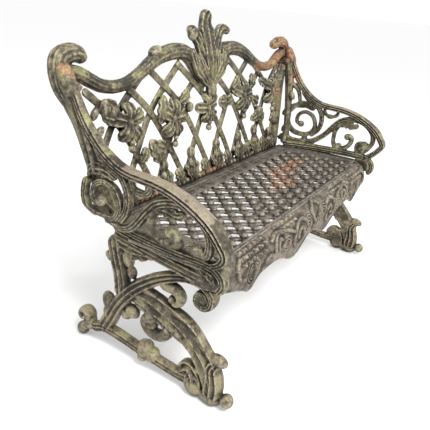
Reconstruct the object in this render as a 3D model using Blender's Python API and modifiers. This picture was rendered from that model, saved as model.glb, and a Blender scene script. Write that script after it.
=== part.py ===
"""Victorian style cast-iron garden bench: six castings held together by square-headed bolts.

Metres, +Z up, X along the seat, the sitter faces -Y. The origin is on the ground under the
middle of the bench. Everything is one rigid assembly: nothing on this bench moves.
"""
import math

import bmesh
import bpy
from mathutils import Euler, Matrix, Vector

# ---------------------------------------------------------------- driving dimensions
GAP = 0.0003                    # clearance between touching castings
SEAT_TOP = 0.389                # height of the seat's upper face
SEAT_HALF = 0.545               # half width over the seat's side rims
SEAT_REAR = 0.159               # rear edge of the seat
SEAT_FRONT = -0.176             # bead line along the front of the seat
RIM_THICK = 0.0127              # thickness of the seat's rim
HOLE_PITCH = 0.060              # grille holes, centre to centre along X
HOLE_ROW = 0.030                # rows of holes, front to back
HOLE_HALF = 0.0185              # half diagonal of one diamond hole
FLANGE_X = 0.499                # middle of the seat's side flanges
FLANGE_THICK = 0.008
BACK_Y = 0.184                  # middle plane of the back where it meets the seat
BACK_RAKE = math.radians(8)     # lean of the back
LEG_X = 0.530                   # middle plane of each leg
ARM_FOOT_X = 0.556              # middle of the arm where it rests on the seat rim
ARM_BOW = 0.030                 # how far the arm bows outwards above the rim
BOLT_R = 0.004                  # bolt shank radius
HOLE_R = BOLT_R + GAP           # clearance hole radius
HEAD_ACROSS = 0.013             # square head and nut, across the flats
HEAD_HIGH = 0.005
NUT_HIGH = 0.0065
WASHER_R = 0.0095
WASHER_THICK = 0.0015

IRON = {"color": (0.115, 0.100, 0.072), "metallic": 0.55, "roughness": 0.78}
STEEL = {"color": (0.16, 0.12, 0.09), "metallic": 0.7, "roughness": 0.7}

BACK_TURN = Matrix.Rotation(-BACK_RAKE, 4, "X")
BACK_ORIGIN = Vector((0, BACK_Y, SEAT_TOP))


# ---------------------------------------------------------------- scene helpers
def clear_scene():
    for obj in list(bpy.data.objects):
        bpy.data.objects.remove(obj)


def new_collection(name):
    coll = bpy.data.collections.new(name)
    bpy.context.scene.collection.children.link(coll)
    return coll


def material(name, look):
    mat = bpy.data.materials.new(name)
    mat.use_nodes = True
    shader = mat.node_tree.nodes["Principled BSDF"]
    shader.inputs["Base Color"].default_value = (*look["color"], 1)
    shader.inputs["Metallic"].default_value = look["metallic"]
    shader.inputs["Roughness"].default_value = look["roughness"]
    return mat


def add_object(name, mesh, coll):
    obj = bpy.data.objects.new(name, mesh)
    coll.objects.link(obj)
    return obj


def object_from_bmesh(name, bm, coll):
    bmesh.ops.recalc_face_normals(bm, faces=bm.faces)
    mesh = bpy.data.meshes.new(name)
    bm.to_mesh(mesh)
    bm.free()
    return add_object(name, mesh, coll)


def frozen(obj, coll, name, weld=0.000002):
    """The object as its modifiers leave it, as a plain welded mesh in world space."""
    depsgraph = bpy.context.evaluated_depsgraph_get()
    mesh = bpy.data.meshes.new_from_object(obj.evaluated_get(depsgraph))
    mesh.transform(obj.matrix_world)
    bm = bmesh.new()
    bm.from_mesh(mesh)
    bmesh.ops.remove_doubles(bm, verts=bm.verts, dist=weld)
    bmesh.ops.triangulate(bm, faces=bm.faces)
    bm.to_mesh(mesh)
    bm.free()
    bpy.data.objects.remove(obj)
    return add_object(name, mesh, coll)


# ---------------------------------------------------------------- members of a casting
def bar(points, radius, coll, flat=1.0, fine=1):
    """A round cast member along the points; radius is one number or one for each point.

    flat squeezes its section along X about the member's own plane; fine 0 gives it four sides.
    """
    radii = radius if isinstance(radius, (list, tuple)) else [radius] * len(points)
    curve = bpy.data.curves.new("bar", "CURVE")
    curve.dimensions = "3D"
    curve.bevel_depth = 1.0
    curve.bevel_resolution = fine
    curve.use_fill_caps = True
    spline = curve.splines.new("POLY")
    spline.points.add(len(points) - 1)
    for node, place, r in zip(spline.points, points, radii):
        node.co = (*place, 1)
        node.radius = r
    obj = frozen(add_object("bar", curve, coll), coll, "bar")
    if flat != 1.0:
        middle = sum(p[0] for p in points) / len(points)
        for vert in obj.data.vertices:
            vert.co.x = middle + (vert.co.x - middle) * flat
    return obj


def blob(centre, radii, coll, turn=(0, 0, 0)):
    """A rounded lump of casting: a leaf, bud, ball or flower in its plain outer shape."""
    bm = bmesh.new()
    bmesh.ops.create_uvsphere(bm, u_segments=7, v_segments=5, radius=1.0)
    place = Matrix.Translation(centre) @ Euler(turn).to_matrix().to_4x4() @ Matrix.Diagonal((*radii, 1))
    bmesh.ops.transform(bm, matrix=place, verts=bm.verts)
    return object_from_bmesh("blob", bm, coll)


def block(low, high, coll):
    """A box between two corners."""
    bm = bmesh.new()
    bmesh.ops.create_cube(bm, size=1.0)
    low, high = Vector(low), Vector(high)
    place = Matrix.Translation((low + high) / 2) @ Matrix.Diagonal((*(high - low), 1))
    bmesh.ops.transform(bm, matrix=place, verts=bm.verts)
    return object_from_bmesh("block", bm, coll)


def rod(start, end, radius, coll, sides=8):
    """A straight closed cylinder between two points."""
    start, end = Vector(start), Vector(end)
    bm = bmesh.new()
    bmesh.ops.create_cone(bm, cap_ends=True, segments=sides, radius1=radius, radius2=radius,
                          depth=(end - start).length)
    turn = (end - start).to_track_quat("Z", "Y").to_matrix().to_4x4()
    bmesh.ops.transform(bm, matrix=Matrix.Translation((start + end) / 2) @ turn, verts=bm.verts)
    return object_from_bmesh("rod", bm, coll)


def combine(name, base, others, operation, coll):
    """One Boolean of the base with a list of other solids, left as a plain mesh."""
    tools = bpy.data.collections.new(name + "_tools")
    for obj in others:
        tools.objects.link(obj)
    step = base.modifiers.new("Boolean", "BOOLEAN")
    step.operation = operation
    step.operand_type = "COLLECTION"
    step.collection = tools
    step.solver = "MANIFOLD"
    result = frozen(base, coll, name)
    for obj in others:
        bpy.data.objects.remove(obj)
    bpy.data.collections.remove(tools)
    return result


def casting(name, members, cutters, look, work, parts):
    """Unites the members, takes the cutters away, and files the result as a finished part."""
    solid = combine(name, members[0], members[1:], "UNION", work)
    if cutters:
        solid = combine(name, solid, cutters, "DIFFERENCE", work)
    return finish_part(solid, name, look, work, parts)


def finish_part(obj, name, look, work, parts):
    obj.name = name
    obj.data.name = name
    obj.data.materials.clear()
    obj.data.materials.append(material(name + "_finish", look))
    obj.data.shade_smooth()
    obj.data.set_sharp_from_angle(angle=math.radians(35))
    work.objects.unlink(obj)
    parts.objects.link(obj)
    return obj


# ---------------------------------------------------------------- places on the bench
def back_point(x, up, forward=0.0):
    """A point on the raked back: x across, up along the rake, forward towards the sitter."""
    return BACK_ORIGIN + BACK_TURN @ Vector((x, -forward, up))


def arm_x(z):
    """How far from the middle of the bench the arm's plane lies at a given height."""
    rise = min(max((z - 0.40) / 0.06, 0), 1)
    return ARM_FOOT_X + ARM_BOW * rise * rise * (3 - 2 * rise)


def in_leg(side, points):
    """Leg points given as (forward, up), in the leg's own upright plane."""
    return [(side * LEG_X, -f, z) for f, z in points]


def in_arm(side, points):
    """Arm points given as (forward, up), in the bowed plane of the arm."""
    return [(side * arm_x(z), -f, z) for f, z in points]


# ---------------------------------------------------------------- bolt positions
BACK_BOLT_UPS = (0.030, 0.330)              # up the back stile
BACK_BOLT_XS = (0.512, 0.556)
BACK_PAD = 0.013                            # half thickness of the back at a bolt
LUG_THICK = 0.009                           # arm lug in front of the back
SEAT_BOLT_XS = (-0.32, 0.0, 0.32)
SEAT_BOLT_Z = 0.362
LEG_BOLTS = ((-0.070, 0.3620), (0.085, 0.3530))   # (forward, up)
ARM_BOLT_X, ARM_BOLT_F = 0.550, 0.186


# ---------------------------------------------------------------- the leg
LEG_BAND = (((-0.112, 0.370), (0.010, 0.362), (0.110, 0.350), (0.158, 0.343)), 0.013)
LEG_REAR_STEM = (((-0.118, 0.362), (-0.106, 0.318), (-0.092, 0.250), (-0.096, 0.185)),
                 (0.021, 0.022, 0.024, 0.02))
LEG_SWEEP = (((-0.160, 0.066), (-0.130, 0.112), (-0.096, 0.176), (-0.055, 0.228), (0, 0.276),
              (0.053, 0.311),
              (0.106, 0.332), (0.150, 0.333), (0.182, 0.312), (0.180, 0.286), (0.158, 0.275),
              (0.140, 0.290),
              (0.150, 0.306)),
             (0.022, 0.021, 0.021, 0.021, 0.021, 0.020, 0.018, 0.016, 0.015, 0.014, 0.014, 0.012, 0.010))
LEG_LEAF = (((-0.055, 0.228), (0, 0.222), (0.055, 0.205), (0.108, 0.186), (0.155, 0.148), (0.190, 0.104),
             (0.208, 0.055), (0.205, 0.022)),
            (0.020, 0.026, 0.032, 0.033, 0.031, 0.027, 0.027, 0.026))
LEG_HOOK = (((0.032, 0.288), (0.070, 0.284), (0.094, 0.268), (0.082, 0.248), (0.066, 0.250)),
            (0.016, 0.013, 0.012, 0.011, 0.011))
LEG_CURL = (((0.020, 0.200), (0.010, 0.165), (-0.004, 0.148), (0.012, 0.128), (0.040, 0.132),
             (0.055, 0.155)),
            (0.020, 0.018, 0.014, 0.014, 0.015, 0.014))
LEG_BASE = (((-0.232, 0.048), (-0.180, 0.056), (-0.100, 0.062), (0, 0.045), (0.095, 0.036), (0.150, 0.034)),
            (0.020, 0.016, 0.018, 0.018, 0.018, 0.020))
LEG_BLOBS = (
    (-0.234, 0.074, 0.034, 0.030, 0.034), (-0.2415, 0.024, 0.028, 0.024, 0.028),
    (0.140, 0.040, 0.036, 0.040, 0.048), (0.162, 0.018, 0.042, 0.036, 0.026),
    (0.216, 0.018, 0.034, 0.030, 0.022), (0.2500, 0.032, 0.0225, 0.020, 0.021),
    (0.212, 0.126, 0.020, 0.020, 0.024), (0.000, 0.060, 0.030, 0.024, 0.030),
    (-0.142, 0.152, 0.022, 0.018, 0.028), (-0.060, 0.158, 0.024, 0.018, 0.022),
    (-0.128, 0.296, 0.016, 0.014, 0.016), (-0.070, 0.315, 0.016, 0.016, 0.024),
    (-0.045, 0.345, 0.050, 0.014, 0.022), (0.130, 0.136, 0.014, 0.014, 0.014),
    (0.166, 0.082, 0.014, 0.014, 0.014),
)


def leg_members(side, work):
    members = []
    for points, radius in (LEG_SWEEP, LEG_LEAF, LEG_BAND, LEG_REAR_STEM, LEG_HOOK, LEG_CURL, LEG_BASE):
        members.append(bar(in_leg(side, points), radius, work, flat=0.72))
    for f, z, along, deep, high in LEG_BLOBS:
        members.append(blob((side * LEG_X, -f, z), (deep, along, high), work))
    for f, z in LEG_BOLTS:
        members.append(rod((side * (FLANGE_X + FLANGE_THICK / 2 + GAP), -f, z),
                           (side * LEG_X, -f, z), 0.011, work))
    return members


def leg_cutters(side, work):
    ground = block((-1, -1, -0.2), (1, 1, 0.0), work)
    under_rim = block((-1, -1, SEAT_TOP - RIM_THICK - GAP), (1, 1, 0.6), work)
    holes = [rod((side * 0.45, -f, z), (side * (LEG_X + 0.004), -f, z), HOLE_R, work) for f, z in LEG_BOLTS]
    return [ground, under_rim] + holes


def build_leg(name, side, work, parts):
    return casting(name, leg_members(side, work), leg_cutters(side, work), IRON, work, parts)


# ---------------------------------------------------------------- the arm
ARM_RAIL = (((-0.196, 0.764), (-0.186, 0.716), (-0.162, 0.668), (-0.128, 0.630), (-0.085, 0.596),
             (-0.032, 0.573),
             (0.053, 0.567), (0.106, 0.556), (0.159, 0.535), (0.201, 0.508), (0.226, 0.478), (0.236, 0.456),
             (0.221, 0.430), (0.200, 0.411)),
            (0.016, 0.016, 0.015, 0.014, 0.013, 0.013, 0.013, 0.013, 0.013, 0.013, 0.013, 0.012, 0.012,
             0.012))
ARM_POST = (((-0.176, 0.400), (-0.186, 0.480), (-0.190, 0.560), (-0.188, 0.640), (-0.180, 0.705)), 0.014)
ARM_BASE = (((-0.170, 0.400), (-0.05, 0.401), (0.08, 0.401), (0.180, 0.401), (0.212, 0.386), (0.221, 0.362),
             (0.208, 0.340)), (0.015, 0.014, 0.014, 0.014, 0.013, 0.012, 0.011))
ARM_SWAG = (((-0.178, 0.440), (-0.138, 0.416), (-0.060, 0.416), (0, 0.452), (0.053, 0.512), (0.106, 0.538),
             (0.165, 0.528), (0.200, 0.488), (0.204, 0.448)), 0.011)
ARM_SCROLL = (((-0.138, 0.618), (-0.140, 0.568), (-0.172, 0.510), (-0.160, 0.462), (-0.105, 0.436),
               (-0.055, 0.454),
               (-0.046, 0.505), (-0.080, 0.540), (-0.130, 0.520), (-0.128, 0.490), (-0.108, 0.484)), 0.009)
ARM_SPRIG = (((0.058, 0.500), (0.040, 0.460), (0.058, 0.425), (0.090, 0.425), (0.112, 0.450),
              (0.095, 0.470)), 0.009)
ARM_TIE = (((-0.036, 0.560), (-0.012, 0.530), (0.020, 0.532), (0.040, 0.556)), 0.008)
ARM_INNER = (((-0.060, 0.552), (-0.035, 0.520), (-0.020, 0.478), (-0.050, 0.440)), 0.009)
ARM_BLOBS = (
    (-0.106, 0.484, 0.014, 0.012, 0.014), (-0.106, 0.556, 0.030, 0.014, 0.020),
    (0.170, 0.438, 0.032, 0.022, 0.030),
    (0.074, 0.424, 0.016, 0.014, 0.014), (0.095, 0.508, 0.034, 0.012, 0.018),
)


def back_bolt_places(side):
    """Each back bolt's point on the back's middle plane, with the forward direction."""
    forward = BACK_TURN @ Vector((0, -1, 0))
    return [(back_point(side * x, up), forward) for x, up in zip(BACK_BOLT_XS, BACK_BOLT_UPS)]


def arm_members(side, work):
    members = []
    for points, radius in (ARM_RAIL, ARM_POST, ARM_BASE, ARM_SWAG, ARM_SCROLL, ARM_SPRIG, ARM_TIE,
                           ARM_INNER):
        members.append(bar(in_arm(side, points), radius, work))
    for f, z, along, deep, high in ARM_BLOBS:
        members.append(blob((side * arm_x(z), -f, z), (deep, along, high), work))
    members.append(block((side * 0.541, -0.20, 0.385), (side * 0.568, -0.17, 0.402), work))
    for place, forward in back_bolt_places(side):
        face = place + forward * (BACK_PAD + GAP)
        members.append(rod(face, face + forward * LUG_THICK, 0.014, work))
        reach = face + forward * LUG_THICK / 2
        post = Vector((side * arm_x(reach.z), reach.y - 0.004, reach.z))
        members.append(bar([reach, post], 0.008, work))
    return members


def arm_cutters(side, work):
    below_rail = block((-1, -0.199, 0.0), (1, 0.30, SEAT_TOP + GAP), work)
    behind = []
    for place, forward in back_bolt_places(side):
        behind.append(rod(place - forward * 0.05, place + forward * 0.05, HOLE_R, work))
        front = place + forward * (BACK_PAD + GAP)
        behind.append(rod(front - forward * 0.05, front, 0.03, work))
        lug_face = front + forward * LUG_THICK
        behind.append(rod(lug_face, lug_face + forward * 0.03, HEAD_ACROSS, work))
    foot = rod((side * ARM_BOLT_X, -ARM_BOLT_F, 0.3), (side * ARM_BOLT_X, -ARM_BOLT_F, 0.404), HOLE_R, work)
    return [below_rail, foot] + behind


def build_arm(name, side, work, parts):
    return casting(name, arm_members(side, work), arm_cutters(side, work), IRON, work, parts)


# ---------------------------------------------------------------- the back
RAIL_HALF = (((0.580, 0.350), (0.597, 0.378), (0.585, 0.402), (0.550, 0.404), (0.520, 0.380),
              (0.490, 0.347),
              (0.440, 0.326), (0.380, 0.325), (0.325, 0.344), (0.265, 0.375), (0.205, 0.403),
              (0.145, 0.404),
              (0.090, 0.382), (0.055, 0.345), (0.025, 0.290)),
             (0.020, 0.019, 0.018, 0.018, 0.018, 0.018, 0.018, 0.018, 0.018, 0.018, 0.018, 0.018,
              0.017, 0.016,
              0.016))
STILE = (((0.486, -0.010), (0.500, 0.060), (0.515, 0.160), (0.532, 0.260), (0.556, 0.360)), 0.019)
BASE_RAIL_R = 0.014
LATTICE_PITCH = 0.143
LATTICE_SLOPE = 1.55            # rise over run of the lattice bars
LATTICE_R = 0.0105
LATTICE_STEP = 0.0032           # how far each lean lies off the middle plane
FLOWERS = ((-0.392, 0.222, 0.055), (-0.212, 0.212, 0.062), (-0.021, 0.212, 0.055), (0.212, 0.230, 0.062),
           (0.445, 0.222, 0.055))
SPRAYS = ((-0.245, 0.030), (-0.115, 0.045), (0.030, 0.045), (0.175, 0.045), (0.290, 0.050), (-0.300, 0.130),
          (0.330, 0.150))
CREST = ((0.0, 0.400, 0.040, 0.110, 0.0), (0.0, 0.485, 0.032, 0.030, 0.0),
         (-0.062, 0.445, 0.030, 0.045, -0.5),
         (0.065, 0.430, 0.050, 0.030, 0.4), (0.0, 0.320, 0.055, 0.050, 0.0))


def rail_underside(x):
    """Height of the top rail's middle line on the back at a distance x from its centre."""
    points = sorted(RAIL_HALF[0][4:])
    for (xa, za), (xb, zb) in zip(points, points[1:]):
        if xa <= x <= xb:
            return za + (zb - za) * (x - xa) / (xb - xa)
    return points[0][1] if x < points[0][0] else points[-1][1]


def lattice_bars():
    """Start and end points of every slanting bar; the two leans pass in front of each other."""
    bars = []
    count = 4
    for i in range(-count, count + 1):
        for lean in (-1, 1):
            x, up = (i + 0.5 * lean) * LATTICE_PITCH * 0.93, 0.0
            start = (x, up)
            while up < 0.42 and abs(x) < 0.49 and up < rail_underside(abs(x)):
                up += 0.004
                x += lean * 0.004 / LATTICE_SLOPE
            if up > 0.06 and abs(start[0]) < 0.47:
                step = lean * LATTICE_STEP
                bars.append((back_point(*start, step), back_point(x, up, step)))
    return bars


def back_members(work):
    members = []
    for side in (-1, 1):
        points, radii = RAIL_HALF
        members.append(bar([back_point(side * x, up) for x, up in points], radii, work))
        points, radius = STILE
        members.append(bar([back_point(side * x, up) for x, up in points], radius, work))
    members.append(bar([back_point(-0.490, 0), back_point(0.490, 0)], BASE_RAIL_R, work))
    for start, end in lattice_bars():
        members.append(bar([start, end], LATTICE_R, work, fine=0))
    turn = (-BACK_RAKE, 0, 0)
    for x, up, size in FLOWERS:
        members.append(blob(back_point(x, up, 0.006), (size, 0.018, size), work, turn))
    for x, up in SPRAYS:
        members.append(blob(back_point(x, up, 0.004), (0.034, 0.016, 0.046), work, turn))
    for x, up, wide, high, lean in CREST:
        members.append(blob(back_point(x, up), (wide, 0.018, high), work, (-BACK_RAKE, lean, 0)))
    for side in (-1, 1):
        for place, forward in back_bolt_places(side):
            members.append(rod(place - forward * BACK_PAD, place + forward * BACK_PAD, 0.015, work))
    for x in SEAT_BOLT_XS:
        low = (x - 0.020, SEAT_REAR + GAP, SEAT_BOLT_Z - 0.014)
        members.append(block(low, (x + 0.020, SEAT_REAR + 0.030, SEAT_TOP + 0.006), work))
    return members


def back_cutters(work):
    cutters = [block((-1, 0, 0.30), (1, SEAT_REAR + GAP, SEAT_TOP + 0.012), work)]
    for side in (-1, 1):
        for place, forward in back_bolt_places(side):
            cutters.append(rod(place - forward * 0.05, place + forward * 0.05, HOLE_R, work))
            for sign in (-1, 1):
                flat = place + forward * BACK_PAD * sign
                cutters.append(rod(flat, flat + forward * 0.03 * sign, 0.016, work))
    for x in SEAT_BOLT_XS:
        cutters.append(rod((x, 0.12, SEAT_BOLT_Z), (x, 0.25, SEAT_BOLT_Z), HOLE_R, work))
        cutters.append(rod((x, SEAT_REAR + 0.028, SEAT_BOLT_Z), (x, 0.25, SEAT_BOLT_Z), 0.012, work))
    return cutters


def build_back(work, parts):
    return casting("back_panel", back_members(work), back_cutters(work), IRON, work, parts)


# ---------------------------------------------------------------- the seat
def diamond(spline_list, x, y, half):
    spline_list.append([(x - half, y), (x, y + half), (x + half, y), (x, y - half)])


def grille_holes():
    """Diamond holes in staggered rows over the middle of the seat."""
    holes = []
    rows = 8
    for row in range(rows):
        y = -0.145 + row * HOLE_ROW
        shift = HOLE_PITCH / 2 * (row % 2)
        for col in range(-7, 8):
            x = col * HOLE_PITCH + shift
            if abs(x) < 0.45:
                diamond(holes, x, y, HOLE_HALF)
    return holes


def seat_plate(work):
    """The pierced top of the seat as one flat outline with its holes."""
    curve = bpy.data.curves.new("plate", "CURVE")
    curve.dimensions = "2D"
    curve.fill_mode = "BOTH"
    curve.extrude = RIM_THICK / 2
    corner = 0.030
    half, rear, front = SEAT_HALF, SEAT_REAR, SEAT_FRONT - 0.012
    outline = [(-half, rear), (half, rear), (half, front + corner)]
    outline += [(half - corner * (1 - math.cos(a)), front + corner - corner * math.sin(a))
                for a in (0.4, 0.8, 1.2, math.pi / 2)]
    outline += [(-x, y) for x, y in reversed(outline[2:])]
    for loop in [outline] + grille_holes():
        spline = curve.splines.new("POLY")
        spline.points.add(len(loop) - 1)
        spline.use_cyclic_u = True
        for node, (x, y) in zip(spline.points, loop):
            node.co = (x, y, 0, 1)
    plate = add_object("plate", curve, work)
    plate.location = (0, 0, SEAT_TOP - RIM_THICK / 2)
    bpy.context.view_layer.update()
    return frozen(plate, work, "plate")


def apron_drop(x):
    """Height of the apron's scalloped lower edge at a place along the seat."""
    a = abs(x)
    lobe = 0.045 * math.exp(-((a - 0.125) / 0.080) ** 2)
    leaf = 0.030 * math.exp(-((a - 0.400) / 0.040) ** 2)
    return 0.292 - lobe - leaf + 0.012 * max(a - 0.44, 0) / 0.09


def apron(work):
    """The rolled front of the seat: a curved strip whose lower edge rises and falls."""
    thick = 0.007
    count = 22
    bm = bmesh.new()
    rings = []
    for i in range(count + 1):
        x = -0.530 + 1.060 * i / count
        low = apron_drop(x)
        outer = [(-0.176, 0.3885), (-0.204, 0.380), (-0.217, 0.352), (-0.211, low)]
        inner = [(-0.174, 0.3815), (-0.199, 0.374), (-0.210, 0.351), (-0.211 + thick, low)]
        ring = [bm.verts.new((x, y, z)) for y, z in outer + inner[::-1]]
        rings.append(ring)
    for a, b in zip(rings, rings[1:]):
        for k in range(len(a)):
            n = (k + 1) % len(a)
            bm.faces.new((a[k], a[n], b[n], b[k]))
    for ring in (rings[0], rings[-1]):
        half = len(ring) // 2
        for k in range(half - 1):
            bm.faces.new((ring[k], ring[k + 1], ring[-2 - k], ring[-1 - k]))
    return object_from_bmesh("apron", bm, work)


def seat_members(work):
    members = [seat_plate(work), apron(work)]
    top = SEAT_TOP - 0.004
    for side in (-1, 1):
        low_x = FLANGE_X - FLANGE_THICK / 2
        high_x = FLANGE_X + FLANGE_THICK / 2
        members.append(block((side * low_x, -0.165, 0.340), (side * high_x, 0.150, top), work))
    members.append(block((-0.495, SEAT_REAR - 0.008, 0.345), (0.495, SEAT_REAR, top), work))
    return members


def seat_cutters(work):
    cutters = []
    for side in (-1, 1):
        for f, z in LEG_BOLTS:
            cutters.append(rod((side * 0.47, -f, z), (side * 0.52, -f, z), HOLE_R, work))
        foot = (side * ARM_BOLT_X, -ARM_BOLT_F)
        cutters.append(rod((*foot, 0.3), (*foot, 0.45), HOLE_R, work))
    for x in SEAT_BOLT_XS:
        cutters.append(rod((x, 0.12, SEAT_BOLT_Z), (x, 0.20, SEAT_BOLT_Z), HOLE_R, work))
    return cutters


def build_seat(work, parts):
    return casting("seat_casting", seat_members(work), seat_cutters(work), IRON, work, parts)


# ---------------------------------------------------------------- fasteners
def place_along(obj, seat_point, direction):
    obj.rotation_mode = "QUATERNION"
    obj.rotation_quaternion = Vector(direction).to_track_quat("Z", "Y")
    obj.location = seat_point


def square_prism(z0, z1, across, work):
    radius = across / math.sqrt(2)
    bm = bmesh.new()
    bmesh.ops.create_cone(bm, cap_ends=True, segments=4, radius1=radius, radius2=radius, depth=z1 - z0)
    bmesh.ops.translate(bm, verts=bm.verts, vec=(0, 0, (z0 + z1) / 2))
    return object_from_bmesh("prism", bm, work)


def square_bolt(name, length, seat_point, direction, work, parts):
    """A square-headed bolt: its head sits on seat_point and its shank runs along direction."""
    head = square_prism(-HEAD_HIGH, 0, HEAD_ACROSS, work)
    shank = rod((0, 0, -0.001), (0, 0, length), BOLT_R, work)
    bolt = combine(name, head, [shank], "UNION", work)
    place_along(bolt, seat_point, direction)
    return finish_part(bolt, name, STEEL, work, parts)


def square_nut(name, seat_point, direction, work, parts):
    """A square nut whose face sits on seat_point, on the side that direction points to."""
    body = square_prism(0, NUT_HIGH, HEAD_ACROSS, work)
    nut = combine(name, body, [rod((0, 0, -0.01), (0, 0, 0.02), HOLE_R, work)], "DIFFERENCE", work)
    place_along(nut, seat_point, direction)
    return finish_part(nut, name, STEEL, work, parts)


def washer(name, seat_point, direction, work, parts):
    """A flat washer, turned from its rectangular section."""
    mesh = bpy.data.meshes.new(name)
    inner, outer = HOLE_R, WASHER_R
    section = [(outer, 0, WASHER_THICK), (outer, 0, 0), (inner, 0, 0), (inner, 0, WASHER_THICK)]
    mesh.from_pydata(section, [(0, 1), (1, 2), (2, 3), (3, 0)], [])
    ring = add_object(name, mesh, work)
    turn = ring.modifiers.new("Screw", "SCREW")
    turn.steps = 10
    turn.render_steps = 10
    turn.use_merge_vertices = True
    turn.merge_threshold = 0.0001
    ring = frozen(ring, work, name)
    bm = bmesh.new()
    bm.from_mesh(ring.data)
    bmesh.ops.recalc_face_normals(bm, faces=bm.faces)
    bm.to_mesh(ring.data)
    bm.free()
    place_along(ring, seat_point, direction)
    return finish_part(ring, name, STEEL, work, parts)


def build_fasteners(work, parts):
    for side, word in ((-1, "left"), (1, "right")):
        for (place, forward), level in zip(back_bolt_places(side), ("lower", "upper")):
            front = place + forward * (BACK_PAD + GAP + LUG_THICK + GAP)
            rear = place - forward * (BACK_PAD + GAP)
            length = (front - rear).length + NUT_HIGH + 0.004
            square_bolt(f"arm_bolt_{word}_{level}", length, front, -forward, work, parts)
            square_nut(f"arm_nut_{word}_{level}", rear, -forward, work, parts)
        for (f, z), level in zip(LEG_BOLTS, ("rear", "front")):
            inside = Vector((side * (FLANGE_X - FLANGE_THICK / 2 - GAP), -f, z))
            outwards = Vector((side, 0, 0))
            washer(f"leg_washer_{word}_{level}", inside - outwards * WASHER_THICK, outwards, work, parts)
            head = inside - outwards * (WASHER_THICK + GAP)
            square_bolt(f"leg_bolt_{word}_{level}", 0.036, head, outwards, work, parts)
        under = Vector((side * ARM_BOLT_X, -ARM_BOLT_F, SEAT_TOP - RIM_THICK - GAP))
        up = Vector((0, 0, 1))
        washer(f"foot_washer_{word}", under - up * WASHER_THICK, up, work, parts)
        square_bolt(f"foot_bolt_{word}", 0.027, under - up * (WASHER_THICK + GAP), up, work, parts)
    for x, word in zip(SEAT_BOLT_XS, ("left", "middle", "right")):
        outside = Vector((x, SEAT_REAR + 0.028 + GAP, SEAT_BOLT_Z))
        inside = Vector((x, SEAT_REAR - 0.008 - GAP, SEAT_BOLT_Z))
        forward = Vector((0, -1, 0))
        square_bolt(f"seat_bolt_{word}", (outside - inside).length + NUT_HIGH + 0.004, outside,
                    forward, work, parts)
        square_nut(f"seat_nut_{word}", inside, forward, work, parts)


# ---------------------------------------------------------------- assembly
def main():
    clear_scene()
    parts = new_collection("garden_bench")
    work = new_collection("cutters")
    build_back(work, parts)
    build_seat(work, parts)
    build_arm("left_arm", -1, work, parts)
    build_arm("right_arm", 1, work, parts)
    build_leg("left_leg", -1, work, parts)
    build_leg("right_leg", 1, work, parts)
    build_fasteners(work, parts)


main()
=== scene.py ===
"""An old cast-iron garden bench, weathered out of doors.

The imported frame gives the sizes. The back, the arms and the legs are drawn as strokes, leaves and
buds, each in its own plane, and fused into one skin. The seat is a woven grille, its rims and a rolled
apron. Every casting is uneven like sand-cast iron and dressed in one family of finishes.
"""
import logging
import math
from dataclasses import dataclass
from enum import Enum
from typing import Callable, Iterable, Sequence

import bmesh
import bpy
import numpy as np
from mathutils import Matrix, Vector, noise


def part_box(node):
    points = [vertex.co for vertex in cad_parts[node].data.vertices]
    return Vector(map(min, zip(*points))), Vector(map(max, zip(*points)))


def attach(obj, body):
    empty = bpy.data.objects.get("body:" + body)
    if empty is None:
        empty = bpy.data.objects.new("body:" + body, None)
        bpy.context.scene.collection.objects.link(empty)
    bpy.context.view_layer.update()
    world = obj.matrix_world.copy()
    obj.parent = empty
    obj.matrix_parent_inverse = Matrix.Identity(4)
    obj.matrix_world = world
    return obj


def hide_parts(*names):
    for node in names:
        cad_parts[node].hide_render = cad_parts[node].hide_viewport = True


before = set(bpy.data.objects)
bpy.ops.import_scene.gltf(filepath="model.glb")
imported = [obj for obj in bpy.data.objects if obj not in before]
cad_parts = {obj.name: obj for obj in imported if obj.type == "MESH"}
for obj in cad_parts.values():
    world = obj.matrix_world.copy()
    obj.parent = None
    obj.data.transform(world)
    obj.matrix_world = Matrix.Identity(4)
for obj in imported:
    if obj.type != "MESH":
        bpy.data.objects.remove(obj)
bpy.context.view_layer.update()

LOG = logging.getLogger("bench")
Point = tuple[float, ...]
Colour = tuple[float, float, float]


# ------------------------------------------------------------------------------ drawing tools
class Section(Enum):
    """The cross-section of a swept member."""

    ROUND = "round"
    REEDED = "reeded"
    STRAP = "strap"
    FLUTED = "fluted"
    LEAF = "leaf"
    BARK = "bark"


SECTION_POINTS = {Section.ROUND: 16, Section.REEDED: 44, Section.STRAP: 20, Section.FLUTED: 40,
                  Section.LEAF: 36, Section.BARK: 30}

# The veins of a leaf: how far they slant towards its edges, and how high they stand.
VEIN_SLANT, VEIN_HEIGHT = 1.1, 0.16
# A rounded end narrows over at least this width, and never to less than this share of it.
END_WIDTH, END_SHARE = 0.002, 0.02
# Sand-cast iron: the height of its bumps, then the closeness and share of the coarse and the fine ones.
CAST_UNEVENNESS = 0.0006
COARSE_BUMPS, COARSE_SHARE = 55, 0.6
FINE_BUMPS, FINE_SHARE = 170, 0.4


def spread(values: float | Sequence[float], count: int) -> np.ndarray:
    """Stretches one number, or a few numbers along a member, over its rings.

    Args:
        values: one value, or several that are evenly spaced along the member.
        count: how many rings the member has.

    Returns:
        One value for each ring.
    """
    if isinstance(values, (int, float)):
        return np.full(count, float(values))
    known = np.linspace(0, 1, len(values))
    return np.interp(np.linspace(0, 1, count), known, np.asarray(values, float))


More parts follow.
